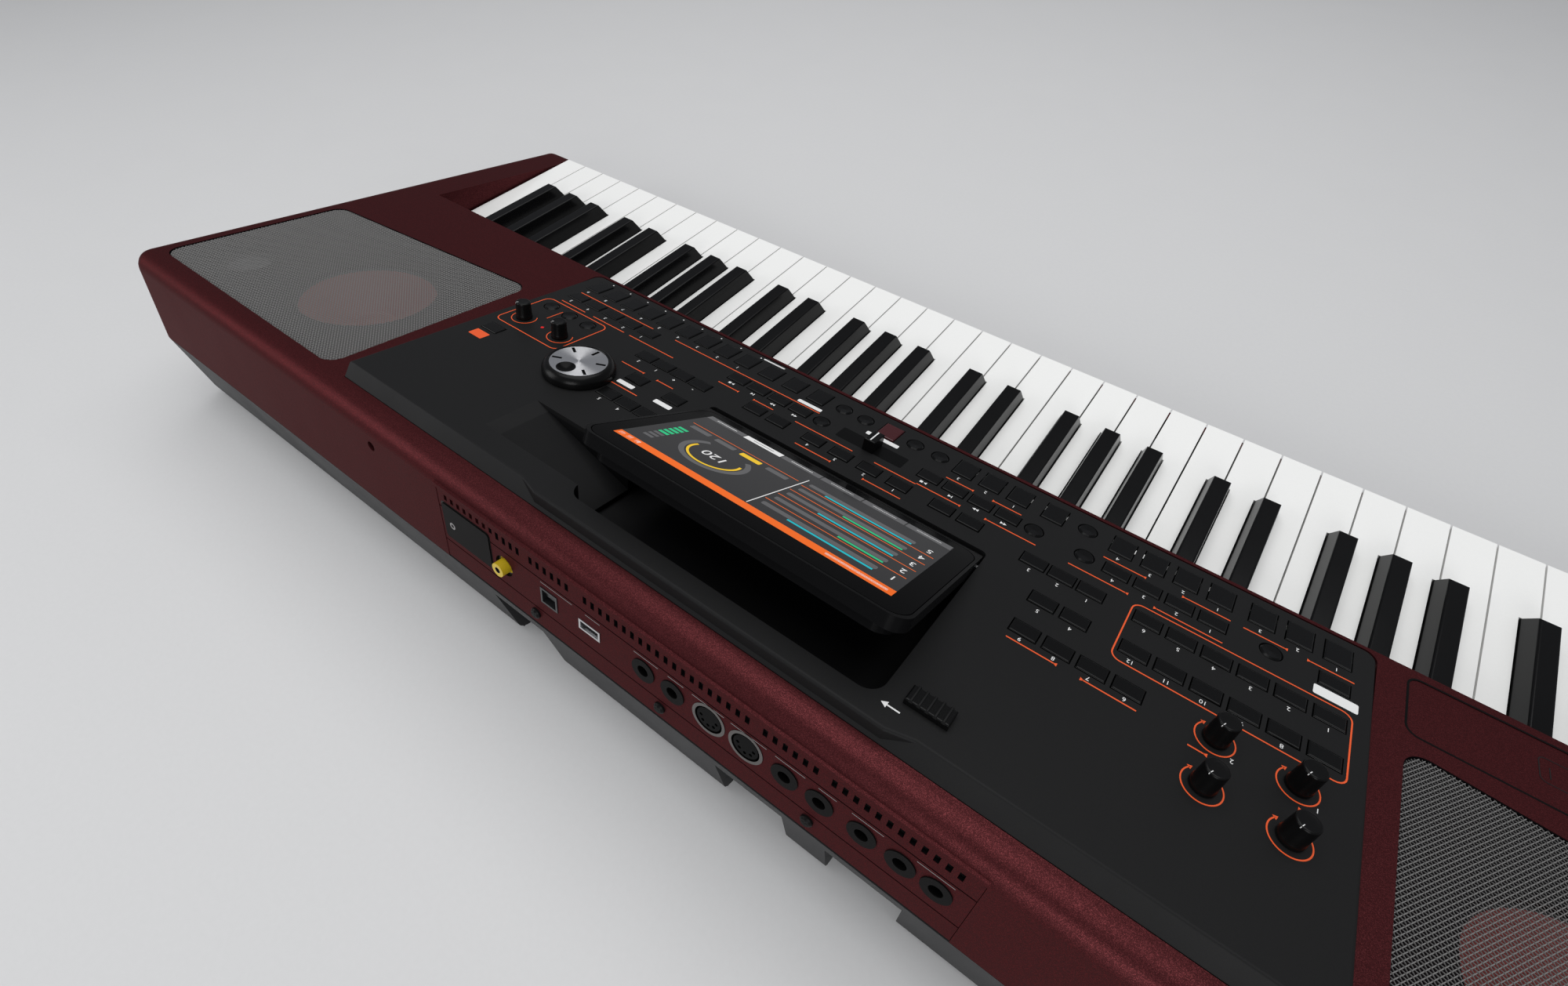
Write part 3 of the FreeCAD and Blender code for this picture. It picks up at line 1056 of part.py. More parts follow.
def usb_socket(name, x, width, height):
    """Make a slotted socket with its tongue."""
    shell = box(name + "_shell", (width, height, "usb_length"), ("-%s / 2" % width, "-%s / 2" % height,
                                                                  "usb_proud - usb_length"))
    mouth = box(name + "_mouth", ("%s - 2 * usb_skin" % width, "%s - 2 * usb_skin" % height, "usb_length"),
                ("usb_skin - %s / 2" % width, "usb_skin - %s / 2" % height,
                 "usb_proud - usb_length + usb_skin"))
    tongue = box(name + "_tongue", ("%s - 4 * usb_skin" % width, "usb_tongue", "usb_length - 2 * usb_skin"),
                 ("2 * usb_skin - %s / 2" % width, "-usb_tongue / 2",
                  "usb_proud - usb_length + usb_skin / 2"))
    case = cut(name + "_case", shell, [mouth])
    return put(fuse(name, [case, tongue]), "wall", (x, "-jack_v", PLATE_FACE))


def connector_plate():
    """Make the plate in the rear bay, with its vents, grooves and socket holes."""
    left, right = "(bay_left + plate_gap)", "(bay_right - plate_gap)"
    blank = box("connector_blank", ("%s - %s" % (right, left), "bay_top - plate_gap - plate_foot",
                                    "plate_thickness"),
                (left, "plate_gap - bay_top", "-plate_thickness"))
    through, deep = "4 * plate_thickness", "(-2 * plate_thickness)"
    holes = [rod("jack_hole_%d" % number, "jack_radius + socket_clear", through, (x, "-jack_v", deep))
             for number, x in enumerate(JACKS_X, start=1)]
    holes += [rod("midi_hole_%d" % number, "midi_barrel + socket_clear", through, (x, "-jack_v", deep))
              for number, x in enumerate(MIDI_X, start=1)]
    holes.append(rod("video_hole", "video_hole", through, (VIDEO_X, "-jack_v", deep)))
    for name, x, width, height in (("usb_b_hole", USB_B_X, "usb_b_width", "usb_b_height"),
                                   ("usb_a_hole", USB_A_X, "usb_a_width", "usb_a_height")):
        holes.append(box(name, ("%s + 2 * socket_clear" % width, "%s + 2 * socket_clear" % height, through),
                         ("%s - %s / 2 - socket_clear" % (x, width),
                          "-jack_v - %s / 2 - socket_clear" % height, deep)))
    holes += [rod("rear_screw_hole_%d" % number, "screw_shank + screw_clear", through,
                  (x, "-rear_screw_v", deep))
              for number, x in enumerate(REAR_SCREWS_X, start=1)]
    for number, v in enumerate(("groove_upper", "groove_lower"), start=1):
        holes.append(box("plate_groove_%d" % number,
                         ("%s - %s" % (right, left), "groove_width", "plate_thickness"),
                         (left, "-%s" % v, "-groove_depth")))
    for first, count, foot in VENTS:
        for number in range(count):
            x = "(%s + %d * vent_pitch)" % (first, number)
            holes.append(box("vent_%d" % len(holes), ("vent_width", "vent_top - %s" % foot, through),
                             (x + " - vent_width / 2", "-vent_top", deep)))
    return put(cut("connector_plate", blank, holes), "wall", ("0", "0", PLATE_FACE))


def storage_hatch():
    """Make the cover over the storage slot, which lies on the plate."""
    half = "hatch_width / 2"
    return plate("storage_hatch", rectangle("%s - %s" % (HATCH_X, half), "%s + %s" % (HATCH_X, half),
                                            "-hatch_v - hatch_height / 2", "-hatch_v + hatch_height / 2"),
                 PLATE_FACE, "hatch_thickness", "wall", "hatch_corner", "hatch_corner")


def ac_inlet():
    """Make the mains inlet, with two pins in its hollow."""
    block = box("inlet_block", ("inlet_width", "inlet_depth", "inlet_height"),
                ("inlet_x - inlet_width / 2", "%s + inlet_proud - inlet_depth" % NOTCH_FACE,
                 "inlet_z - inlet_height / 2"))
    hole = box("inlet_socket", ("inlet_hole_width", "2 * inlet_bore", "inlet_hole_height"),
               ("inlet_x - inlet_hole_width / 2", "%s + inlet_proud - inlet_bore" % NOTCH_FACE,
                "inlet_z - inlet_hole_height / 2"))
    pins = []
    for number, side in enumerate((-1, 1), start=1):
        pin = bind(doc.addObject("Part::Cylinder", "inlet_pin_%d" % number), Radius="inlet_pin",
                   Height="inlet_bore")
        pins.append(put(pin, "level", ("inlet_x + %d * inlet_pin_gap / 2" % side,
                                       "%s + inlet_proud - inlet_pin" % NOTCH_FACE, "inlet_z"),
                        FreeCAD.Rotation(FreeCAD.Vector(1, 0, 0), 90)))
    return fuse("ac_inlet", [cut("inlet_case", block, [hole])] + pins)


# Fasteners, feet and boards

def case_screws():
    """Make the screws under the case and those on the connector plate."""
    profile = [("0", "screw_length"), ("screw_shank", "screw_length"), ("screw_shank", "0"),
               ("screw_head_radius", "0"), ("screw_head_radius", "-screw_head / 2"),
               ("screw_head_radius - screw_head / 2", "-screw_head"), ("0", "-screw_head")]
    under = [turned("case_screw_%d" % number, profile, "level", (x, y, "foot_height"))
             for number, (x, y) in enumerate(case_screw_places(), start=1)]
    behind = [turned("rear_screw_%d" % number, [(r, "-(%s)" % z) for r, z in profile], "wall",
                     (x, "-rear_screw_v", PLATE_FACE)) for number, x in enumerate(REAR_SCREWS_X, start=1)]
    return group("case_screws", under + behind)


def rubber_feet():
    """Make the feet, each a short cone."""
    return group("rubber_feet", [turned("foot_%d_%d" % (across + 1, back + 1), [
        ("0", "0"), ("foot_radius - knob_dome", "0"), ("foot_radius", "foot_height"), ("0", "foot_height"),
    ], "level", ("%d * foot_x" % across, "%d * foot_y" % back, "0"))
        for across in (-1, 1) for back in (-1, 1)])


def main_board():
    """Make the main board on its posts."""
    return box("main_board", ("main_board_length", "main_board_depth", "board_thickness"),
               ("main_board_x - main_board_length / 2", "main_board_y - main_board_depth / 2",
                "foot_height + wall + standoff_height"))


def power_supply():
    """Make the boxed power supply on its posts."""
    return box("power_supply", ("supply_length", "supply_depth", "supply_height"),
               ("supply_x - supply_length / 2", "supply_y - supply_depth / 2",
                "foot_height + wall + standoff_height"))


def build():
    """Make every sub-part."""
    made = [top_shell(), bottom_case(), control_panel(), control_board(), display_tray(), display_housing(),
            put(glass_plate("display_glass", "0", "glass_thickness"), "display"), display_hinge_pins(),
            slider("display_lock", "lock_x", "lock_s", "lock_length", "lock_width",
                   "lock_height", "lock_lift", "lock_stem", "lock_stem"),
            slider("crossfader_cap", "fader_x", "fader_s", "fader_cap_length", "fader_cap_width",
                   "fader_cap_height", "fader_lift", "fader_stem", "fader_stem_width"),
            value_dial(), round_buttons()]
    made += square_buttons()
    made += [knob(*place) for place in knob_places()]
    for octave in range(OCTAVES):
        made += [white_keys(octave), black_keys(octave)]
    made += [keybed_frame(), key_contact_board()]
    for side in ("left", "right"):
        made += [speaker_grille(side), woofer(side), tweeter(side)]
    made += [touch_strip(), joystick_housing(), joystick_gimbal(), joystick_lever(), connector_plate(),
             group("jack_sockets", [jack(number, x) for number, x in enumerate(JACKS_X, start=1)]),
             group("midi_sockets", [midi_socket(number, x) for number, x in enumerate(MIDI_X, start=1)]),
             video_socket(),
             group("usb_sockets", [usb_socket("usb_device", USB_B_X, "usb_b_width", "usb_b_height"),
                                   usb_socket("usb_host", USB_A_X, "usb_a_width", "usb_a_height")]),
             storage_hatch(), ac_inlet(), case_screws(), rubber_feet(), main_board(), power_supply()]
    return made


sub_parts = build()
doc.recompute()
for thing in doc.Objects:
    if "Invalid" in thing.State or "Error" in thing.State:
        raise RuntimeError("%s could not be built: %s" % (thing.Label, thing.State))
for thing in sub_parts:
    if thing.Shape.isNull() or not thing.Shape.isValid() or not thing.Shape.Solids:
        raise RuntimeError("%s has no sound shape" % thing.Label)
os.makedirs("parts", exist_ok=True)
for thing in sub_parts:
    thing.Shape.exportStep("parts/%s.step" % thing.Label)
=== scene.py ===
"""Looks of an arranger keyboard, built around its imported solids."""

import logging
import math
from abc import ABC, abstractmethod
from collections.abc import Callable, Sequence
from dataclasses import dataclass
from enum import Enum

import bmesh
import bpy
from mathutils import Matrix, Vector


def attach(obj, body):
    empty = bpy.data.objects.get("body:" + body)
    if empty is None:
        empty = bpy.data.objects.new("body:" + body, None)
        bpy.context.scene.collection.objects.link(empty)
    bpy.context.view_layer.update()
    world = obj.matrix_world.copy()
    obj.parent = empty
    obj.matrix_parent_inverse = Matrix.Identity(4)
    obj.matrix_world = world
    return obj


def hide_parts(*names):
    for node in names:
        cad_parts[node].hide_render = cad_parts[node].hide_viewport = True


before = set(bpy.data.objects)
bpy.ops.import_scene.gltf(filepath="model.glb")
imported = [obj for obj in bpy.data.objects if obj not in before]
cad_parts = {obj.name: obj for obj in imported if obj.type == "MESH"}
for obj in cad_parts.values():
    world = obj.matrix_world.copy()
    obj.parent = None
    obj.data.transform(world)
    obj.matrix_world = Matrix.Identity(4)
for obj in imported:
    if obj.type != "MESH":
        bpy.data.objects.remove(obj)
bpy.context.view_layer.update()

log = logging.getLogger("arranger_keyboard")

MM = 0.001
Colour = tuple[float, float, float]
Point = tuple[float, float]
Span = tuple[float, float]
Triple = tuple[float, float, float]
# The left, right, low and high edge of a mark on a face
Edges = tuple[float, float, float, float]
Tree = bpy.types.NodeTree
Socket = bpy.types.NodeSocket
Piece = bpy.types.Object


# Faces of the case

@dataclass(frozen=True)
class Face:
    """A flat face of the case, with places on it in millimetres across, up and out of it.

    The origin lies on the middle plane of the case, and across always grows with X.
    """

    y: float
    z: float
    tilt: float
    turned: bool = False

    def matrix(self, across: float = 0.0, up: float = 0.0, out: float = 0.0) -> Matrix:
        """Give the transform that lays a flat piece on the face.

        Args:
            across: place along X.
            up: place up the face.
            out: height above the face.

        Returns:
            The transform from the piece's own axes to the case.
        """
        along = -across if self.turned else across
        spin = Matrix.Rotation(math.pi if self.turned else 0.0, 4, "Z")
        lean = Matrix.Rotation(math.radians(self.tilt), 4, "X")
        origin = Matrix.Translation((0.0, self.y * MM, self.z * MM))
        return origin @ spin @ lean @ Matrix.Translation((along * MM, up * MM, out * MM))

    def coordinates(self, tree: Tree, across: float = 0.0, up: float = 0.0, out: float = 0.0) -> Socket:
        """Give Object coordinates turned into the face, in metres, with a chosen origin.

        Args:
            tree: the node tree to add to.
            across: place of the origin along X.
            up: place of the origin up the face.
            out: height of the origin above the face.

        Returns:
            The socket of the turned coordinates.
        """
        mapping = node(tree, "Mapping", {
            "Vector": object_place(tree),
            "Location": self.matrix(across, up, out).translation,
            "Rotation": (math.radians(self.tilt), 0.0, math.pi if self.turned else 0.0),
        }, vector_type="TEXTURE")
        return mapping.outputs["Vector"]


PANEL = Face(-37.0, 81.4, 13.5)
SHELL = Face(-37.0, 81.4, 11.1)
REAR = Face(189.0, 61.0, 76.65, turned=True)
SCREEN = Face(44.02, 95.19, 33.0)
PLATE_OUT = -0.2
GLASS_OUT = 7.0
STRIP_OUT = -0.3
PRINT_LIFT = 0.03
PRINT_THICKNESS = 0.06
MERGE_DISTANCE = 0.002
SHAFT_RADIUS = 3.0
SHAFT_FOOT = -6.0
SKIRT_GAP = 0.5
UPRIGHT = 0.9
ORIGIN = (0.0, 0.0, 0.0)
DIAL_PLACE: Point = (191.0, 106.5)
LARGE_KNOB: Span = (5.1, 13.0)
SMALL_KNOB: Span = (5.0, 11.5)
# The place across and up the panel, the radius and the height of every knob
KNOBS: dict[str, tuple[float, float, float, float]] = {
    "volume_knob": (-220.1, 137.1, *LARGE_KNOB), "balance_knob": (-188.0, 137.1, *LARGE_KNOB),
    "assign_knob_1": (-220.1, 110.4, *LARGE_KNOB), "assign_knob_2": (-188.0, 110.4, *LARGE_KNOB),
    "mic_effect_knob": (264.9, 86.8, *SMALL_KNOB), "mic_volume_knob": (230.9, 86.8, *SMALL_KNOB),
}


def moved(edges: Edges, across: float, up: float = 0.0) -> Edges:
    """Give a mark's edges moved across and up the face."""
    left, right, low, high = edges
    return left + across, right + across, low + up, high + up


# Node trees

def feed(tree: Tree, fed: bpy.types.Node, inputs: dict) -> None:
    """Set a node's inputs, and link those that other nodes give.

    Args:
        tree: the node tree that holds the node.
        fed: the node.
        inputs: sockets or plain values by the name or number of the input.
    """
    for key, value in inputs.items():
        if isinstance(value, Socket):
            tree.links.new(value, fed.inputs[key])
        else:
            fed.inputs[key].default_value = value


def node(tree: Tree, kind: str, inputs: dict | None = None, **settings) -> bpy.types.Node:
    """Add a shader node, set it and link what feeds it.

    Args:
        tree: the node tree to add to.
        kind: the node's type, without its prefix.
        inputs: sockets or plain values by the name or number of the input.
        **settings: the node's own properties.

    Returns:
        The new node.
    """
    made = tree.nodes.new("ShaderNode" + kind)
    for name, value in settings.items():
        setattr(made, name, value)
    feed(tree, made, inputs or {})
    return made


def object_place(tree: Tree) -> Socket:
    """Give the Object coordinates."""
    return node(tree, "TexCoord").outputs["Object"]


def mix(tree: Tree, factor: Socket, first: Socket | Colour, second: Socket | Colour) -> Socket:
    """Blend two colours, each given as a socket or as a plain colour.

    Args:
        tree: the node tree to add to.
        factor: the share of the second colour.
        first: colour where the factor is 0.
        second: colour where the factor is 1.

    Returns:
        The socket of the blended colour.
    """
    sides = [side if isinstance(side, Socket) else (*side, 1.0) for side in (first, second)]
    return node(tree, "Mix", {0: factor, 6: sides[0], 7: sides[1]}, data_type="RGBA").outputs[2]


def shaded(colour: Colour, share: float) -> Colour:
    """Give a colour times a share."""
    return tuple(channel * share for channel in colour)


def toned(tree: Tree, factor: Socket, colour: Colour, tones: Span) -> Socket:
    """Vary a colour between two shares of itself."""
    return mix(tree, factor, shaded(colour, tones[0]), shaded(colour, tones[1]))


def maths(tree: Tree, operation: str, *values: Socket | float) -> Socket:
    """Do one sum on sockets or plain numbers and give its result."""
    return node(tree, "Math", dict(enumerate(values)), operation=operation).outputs[0]


def spread(tree: Tree, value: Socket, ends: Span) -> Socket:
    """Map a value from 0 to 1 onto a range."""
    return node(tree, "MapRange", {"Value": value, "To Min": ends[0], "To Max": ends[1]}).outputs[0]


def between(tree: Tree, place: Socket, ends: Span) -> Socket:
    """Give 1 where a place lies between two others in millimetres, and 0 elsewhere."""
    return maths(tree, "MULTIPLY", maths(tree, "GREATER_THAN", place, ends[0] * MM),
                 maths(tree, "LESS_THAN", place, ends[1] * MM))


def bump(tree: Tree, height: Socket, strength: float, relief: float) -> Socket:
    """Give the normal of a surface with a fine relief.

    Args:
        tree: the node tree to add to.
        height: the relief's form, from 0 to 1.
        strength: how strongly it shows.
        relief: its depth in millimetres.

    Returns:
        The socket of the normal.
    """
    return node(tree, "Bump", {"Height": height, "Strength": strength, "Distance": relief * MM}).outputs[0]


class Effects:
    """Surface effects that several finishes share, each a node group built once."""

    _made: dict[str, Tree] = {}

    @classmethod
    def _start(cls, name: str, *outputs: str) -> tuple[Tree, dict[str, Socket], bpy.types.Node]:
        """Begin a group that takes a vector and a scale and gives some values.

        Args:
            name: the group's name.
            *outputs: names of the values that it gives.

        Returns:
            The group's node tree, what it takes by name, and the node that its values go to.
        """
        tree = bpy.data.node_groups.new(name, "ShaderNodeTree")
        tree.interface.new_socket("Vector", in_out="INPUT", socket_type="NodeSocketVector")
        tree.interface.new_socket("Scale", in_out="INPUT", socket_type="NodeSocketFloat")
        for label in outputs:
            tree.interface.new_socket(label, in_out="OUTPUT", socket_type="NodeSocketFloat")
        cls._made[name] = tree
        taken = tree.nodes.new("NodeGroupInput").outputs
        return tree, {key: taken[key] for key in ("Vector", "Scale")}, tree.nodes.new("NodeGroupOutput")

    @classmethod
    def _grain(cls) -> None:
        """Build the fine texture of a moulding, with the slow drift of handling over it."""
        tree, taken, result = cls._start("grain", "Tone", "Height", "Drift")
        fine = node(tree, "TexNoise", taken | {"Detail": 2.0, "Roughness": 0.6})
        slow = node(tree, "TexNoise", taken | {"Scale": 22.0, "Detail": 4.0, "Roughness": 0.55})
        cells = node(tree, "TexVoronoi", taken)
        feed(tree, result, {"Tone": fine.outputs[0], "Height": cells.outputs["Distance"],
                            "Drift": slow.outputs[0]})

    @classmethod
    def _flake(cls) -> None:
        """Build the sparkle of metal flakes, each with its own brightness and tilt."""
        tree, taken, result = cls._start("flake", "Sparkle", "Height")
        sharpness = 3.0
        cells = node(tree, "TexVoronoi", taken)
        parts = node(tree, "SeparateColor", {"Color": cells.outputs["Color"]})
        feed(tree, result, {"Sparkle": maths(tree, "POWER", parts.outputs[0], sharpness),
                            "Height": parts.outputs[1]})

    @classmethod
    def _rings(cls) -> None:
        """Build fine rings round the origin of the given coordinates, and the distance from it."""
        tree, taken, result = cls._start("rings", "Lines", "Radius")
        flat = node(tree, "VectorMath", {0: taken["Vector"], 1: (1.0, 1.0, 0.0)}, operation="MULTIPLY")
        length = node(tree, "VectorMath", {0: flat.outputs[0]}, operation="LENGTH").outputs["Value"]
        lines = node(tree, "TexNoise", {"W": length, "Scale": taken["Scale"], "Detail": 3.0},
                     noise_dimensions="1D")
        feed(tree, result, {"Lines": lines.outputs[0], "Radius": length})

    @classmethod
    def place(cls, tree: Tree, name: str, vector: Socket, scale: float) -> bpy.types.Node:
        """Place one of the groups in a material.

        Args:
            tree: the material's node tree.
            name: grain, flake or rings.
            vector: the coordinates it works on.
            scale: how many cells, grains or rings there are in a metre.

        Returns:
            The group's node.
        """
        builders = {"grain": cls._grain, "flake": cls._flake, "rings": cls._rings}
        if name not in cls._made:
            builders[name]()
        return node(tree, "Group", {"Vector": vector, "Scale": scale}, node_tree=cls._made[name])


def grained(tree: Tree, scale: float) -> bpy.types.Node:
    """Place a grain over the Object coordinates, with so many grains in a metre."""
    return Effects.place(tree, "grain", object_place(tree), scale)


# Finishes

@dataclass(frozen=True)
class Surface(ABC):
    """A finish, made as the inputs of one Principled shader."""

    name: str

    @abstractmethod
    def inputs(self, tree: Tree) -> dict:
        """Give the shader's inputs, as sockets or plain values by name."""

    def make(self) -> bpy.types.Material:
        """Build the material."""
        material = bpy.data.materials.new(self.name)
        material.use_nodes = True
        tree = material.node_tree
        tree.nodes.clear()
        shader = node(tree, "BsdfPrincipled", self.inputs(tree))
        node(tree, "OutputMaterial", {"Surface": shader.outputs[0]})
        return material


@dataclass(frozen=True)
class Moulding(Surface):
    """Moulded plastic or rubber, with fine grain and the soft marks of handling."""

    colour: Colour
    roughness: float
    grain: float = 2200.0
    relief: float = 0.012
    coat: float = 0.0
    contrast: float = 0.18
    gloss: float = 0.3
    drift: float = 0.2
    strength: float = 0.6
    coat_roughness: float = 0.08

    def _colour(self, tree: Tree, tone: Socket) -> Socket:
        """Give the colour, which the grain's tone varies."""
        return toned(tree, tone, self.colour, (1 - self.contrast, 1 + self.contrast))

    def inputs(self, tree: Tree) -> dict:
        """Give the shader's inputs."""
        grain = grained(tree, self.grain)
        ends = (self.roughness * (1 - self.drift), self.roughness * (1 + self.drift))
        return {
            "Base Color": self._colour(tree, grain.outputs["Tone"]),
            "Roughness": spread(tree, grain.outputs["Drift"], ends),
            "Normal": bump(tree, grain.outputs["Height"], self.strength, self.relief),
            "Specular IOR Level": self.gloss,
            "Coat Weight": self.coat,
            "Coat Roughness": self.coat_roughness,
        }


@dataclass(frozen=True)
class KeyPlastic(Moulding):
    """Key plastic, with painted shade on the tails where the panel covers the keys."""

    # Painted shade: the key tails under the panel are coloured near black.
    key_shade_from: float = -33.0
    tail_shade: Colour = (0.006, 0.006, 0.006)

    def _colour(self, tree: Tree, tone: Socket) -> Socket:
        """Give the colour, with painted shade from the panel's front edge on."""
        depth = node(tree, "SeparateXYZ", {0: object_place(tree)}).outputs[1]
        in_panel_shade = maths(tree, "GREATER_THAN", depth, self.key_shade_from * MM)
        return mix(tree, in_panel_shade, super()._colour(tree, tone), self.tail_shade)


@dataclass(frozen=True)
class FlakePaint(Surface):
    """Satin paint with metal flakes, and black painted shade below its face in recesses.

    The painted shade starts a little below the face and fills the given stretches across it, between
    two places up the face.
    """

    colour: Colour
    bright: Colour
    face: Face
    surface: float
    stretches: tuple[Span, ...]
    rows: Span
    # Painted shade: the colour put in recesses below the face.
    black: Colour = (0.006, 0.006, 0.007)
    shade_from: float = -0.25
    flakes: float = 4600.0
    grain: float = 1500.0
    metal: Span = (0.5, 0.85)
    roughness: Span = (0.36, 0.46)
    strength: float = 0.35
    relief: float = 0.012
    gloss: float = 0.1
    tint: Colour = (0.45, 0.16, 0.17)

    def _recess_shade(self, tree: Tree) -> Socket:
        """Give the mask of painted shade: 1 below the face inside the stretches, and 0 elsewhere."""
        place = node(tree, "SeparateXYZ", {0: self.face.coordinates(tree, out=self.surface)})
        across, up, out = place.outputs
        inside = between(tree, across, self.stretches[0])
        for stretch in self.stretches[1:]:
            inside = maths(tree, "MAXIMUM", inside, between(tree, across, stretch))
        below = maths(tree, "LESS_THAN", out, self.shade_from * MM)
        return maths(tree, "MULTIPLY", maths(tree, "MULTIPLY", inside, between(tree, up, self.rows)), below)

    def inputs(self, tree: Tree) -> dict:
        """Give the shader's inputs."""
        flake = Effects.place(tree, "flake", object_place(tree), self.flakes)
        grain = grained(tree, self.grain)
        # Painted shade in recesses: the paint turns black and loses its metal there.
        recess = self._recess_shade(tree)
        paint = mix(tree, flake.outputs["Sparkle"], self.colour, self.bright)
        metal = spread(tree, flake.outputs["Sparkle"], self.metal)
        return {
            "Base Color": mix(tree, recess, paint, self.black),
            "Metallic": maths(tree, "MULTIPLY", metal, maths(tree, "SUBTRACT", 1.0, recess)),
            "Roughness": spread(tree, grain.outputs["Drift"], self.roughness),
            "Normal": bump(tree, flake.outputs["Height"], self.strength, self.relief),
            "Specular IOR Level": self.gloss,
            "Specular Tint": (*self.tint, 1.0),
        }


@dataclass(frozen=True)
class Metal(Surface):
    """Drawn, plated or brushed metal."""

    colour: Colour
    roughness: float
    grain: float = 900.0
    tones: Span = (0.85, 1.1)
    drift: float = 0.3

    def inputs(self, tree: Tree) -> dict:
        """Give the shader's inputs."""
        grain = grained(tree, self.grain)
        ends = (self.roughness * (1 - self.drift), self.roughness * (1 + self.drift))
        return {
            "Base Color": toned(tree, grain.outputs["Tone"], self.colour, self.tones),
            "Roughness": spread(tree, grain.outputs["Drift"], ends),
            "Metallic": 1.0,
        }


@dataclass(frozen=True)
class SpunMetal(Surface):
    """Silvered metal with fine turning rings round a point of a face."""

    colour: Colour
    face: Face
    across: float
    up: float
    rings: float = 9000.0
    tones: Span = (0.85, 1.1)
    roughness: Span = (0.24, 0.36)
    streaks: float = 0.9

    def inputs(self, tree: Tree) -> dict:
        """Give the shader's inputs."""
        vector = self.face.coordinates(tree, self.across, self.up)
        lines = Effects.place(tree, "rings", vector, self.rings).outputs["Lines"]
        middle = self.face.matrix(self.across, self.up).translation
        arm = node(tree, "VectorMath", {0: object_place(tree), 1: middle}, operation="SUBTRACT")
        streak = node(tree, "VectorTransform", {0: arm.outputs[0]}, vector_type="VECTOR",
                      convert_from="OBJECT", convert_to="WORLD")
        return {
            "Base Color": toned(tree, lines, self.colour, self.tones),
            "Roughness": spread(tree, lines, self.roughness),
            "Tangent": streak.outputs[0],
            "Anisotropic": self.streaks,
            "Metallic": 1.0,
        }


@dataclass(frozen=True)
class RearSocket(Surface):
    """Socket plastic with a rim of its own wherever it stands proud of the rear plate."""

    colour: Colour
    rim: Colour
    rim_metal: float
    gloss: float
    rim_from: float = 0.15
    grain: float = 2500.0
    tones: Span = (0.8, 1.2)
    roughness: Span = (0.25, 0.4)

    def inputs(self, tree: Tree) -> dict:
        """Give the shader's inputs."""
        grain = grained(tree, self.grain)
        out = node(tree, "SeparateXYZ", {0: REAR.coordinates(tree, out=PLATE_OUT)}).outputs[2]
        proud = maths(tree, "GREATER_THAN", out, self.rim_from * MM)
        body = toned(tree, grain.outputs["Tone"], self.colour, self.tones)
        return {
            "Base Color": mix(tree, proud, body, self.rim),
            "Metallic": maths(tree, "MULTIPLY", proud, self.rim_metal),
            "Roughness": spread(tree, grain.outputs["Drift"], self.roughness),
            "Specular IOR Level": self.gloss,
        }


@dataclass(frozen=True)
class PhonoSocket(Surface):
    """Yellow insert round a bore painted near black as shade, in a bright sleeve."""

    across: float
    up: float
    bore: float = 1.9
    insert: float = 5.6
    yellows: tuple[Colour, Colour] = ((0.52, 0.36, 0.01), (0.66, 0.48, 0.02))
    # Painted shade: the colour inside the bore.
    dark: Colour = (0.01, 0.01, 0.01)
    sleeve: Colour = (0.10, 0.09, 0.085)
    grain: float = 2500.0
    roughness: Span = (0.25, 0.4)

    def inputs(self, tree: Tree) -> dict:
        """Give the shader's inputs."""
        vector = REAR.coordinates(tree, self.across, self.up)
        radius = Effects.place(tree, "rings", vector, self.grain).outputs["Radius"]
        grain = Effects.place(tree, "grain", vector, self.grain)
        # Painted shade: faces within the bore's radius go near black.
        in_bore_shade = maths(tree, "LESS_THAN", radius, self.bore * MM)
        outside = maths(tree, "GREATER_THAN", radius, self.insert * MM)
        inner = mix(tree, in_bore_shade, mix(tree, grain.outputs["Tone"], *self.yellows), self.dark)
        return {
            "Base Color": mix(tree, outside, inner, self.sleeve),
            "Roughness": spread(tree, grain.outputs["Drift"], self.roughness),
        }


@dataclass(frozen=True)
class UsbSocket(Surface):
    """Bright shell on the left socket and black plastic in the right one."""

    border: float
    blacks: tuple[Colour, Colour] = ((0.010, 0.010, 0.011), (0.018, 0.018, 0.019))
    shell: Colour = (0.62, 0.62, 0.63)
    grain: float = 2500.0
    roughness: Span = (0.22, 0.36)

    def inputs(self, tree: Tree) -> dict:
        """Give the shader's inputs."""
        grain = grained(tree, self.grain)
        across = node(tree, "SeparateXYZ", {0: object_place(tree)}).outputs[0]
        steel = maths(tree, "LESS_THAN", across, self.border * MM)
        plastic = mix(tree, grain.outputs["Tone"], *self.blacks)
        return {
            "Base Color": mix(tree, steel, plastic, self.shell),
            "Metallic": steel,
            "Roughness": spread(tree, grain.outputs["Drift"], self.roughness),
        }


@dataclass(frozen=True)
class SpeakerCone(Surface):
    """Pressed paper cone, rubber surround and metal frame, told apart by radius."""

    across: float
    up: float
    cone: Colour
    edge: float
    frame_from: float
    rubber: Colour = (0.012, 0.012, 0.013)
    metal: Colour = (0.05, 0.05, 0.052)
    rings: float = 700.0
    tones: Span = (0.7, 1.35)
    roughness: Span = (0.45, 0.7)
    strength: float = 0.7
    relief: float = 0.4

    def inputs(self, tree: Tree) -> dict:
        """Give the shader's inputs."""
        rings = Effects.place(tree, "rings", SHELL.coordinates(tree, self.across, self.up), self.rings)
        lines, radius = rings.outputs["Lines"], rings.outputs["Radius"]
        paper = toned(tree, lines, self.cone, self.tones)
        soft = mix(tree, maths(tree, "GREATER_THAN", radius, self.edge * MM), paper, self.rubber)
        framed = maths(tree, "GREATER_THAN", radius, self.frame_from * MM)
        return {
            "Base Color": mix(tree, framed, soft, self.metal),
            "Roughness": spread(tree, lines, self.roughness),
            "Normal": bump(tree, lines, self.strength, self.relief),
        }


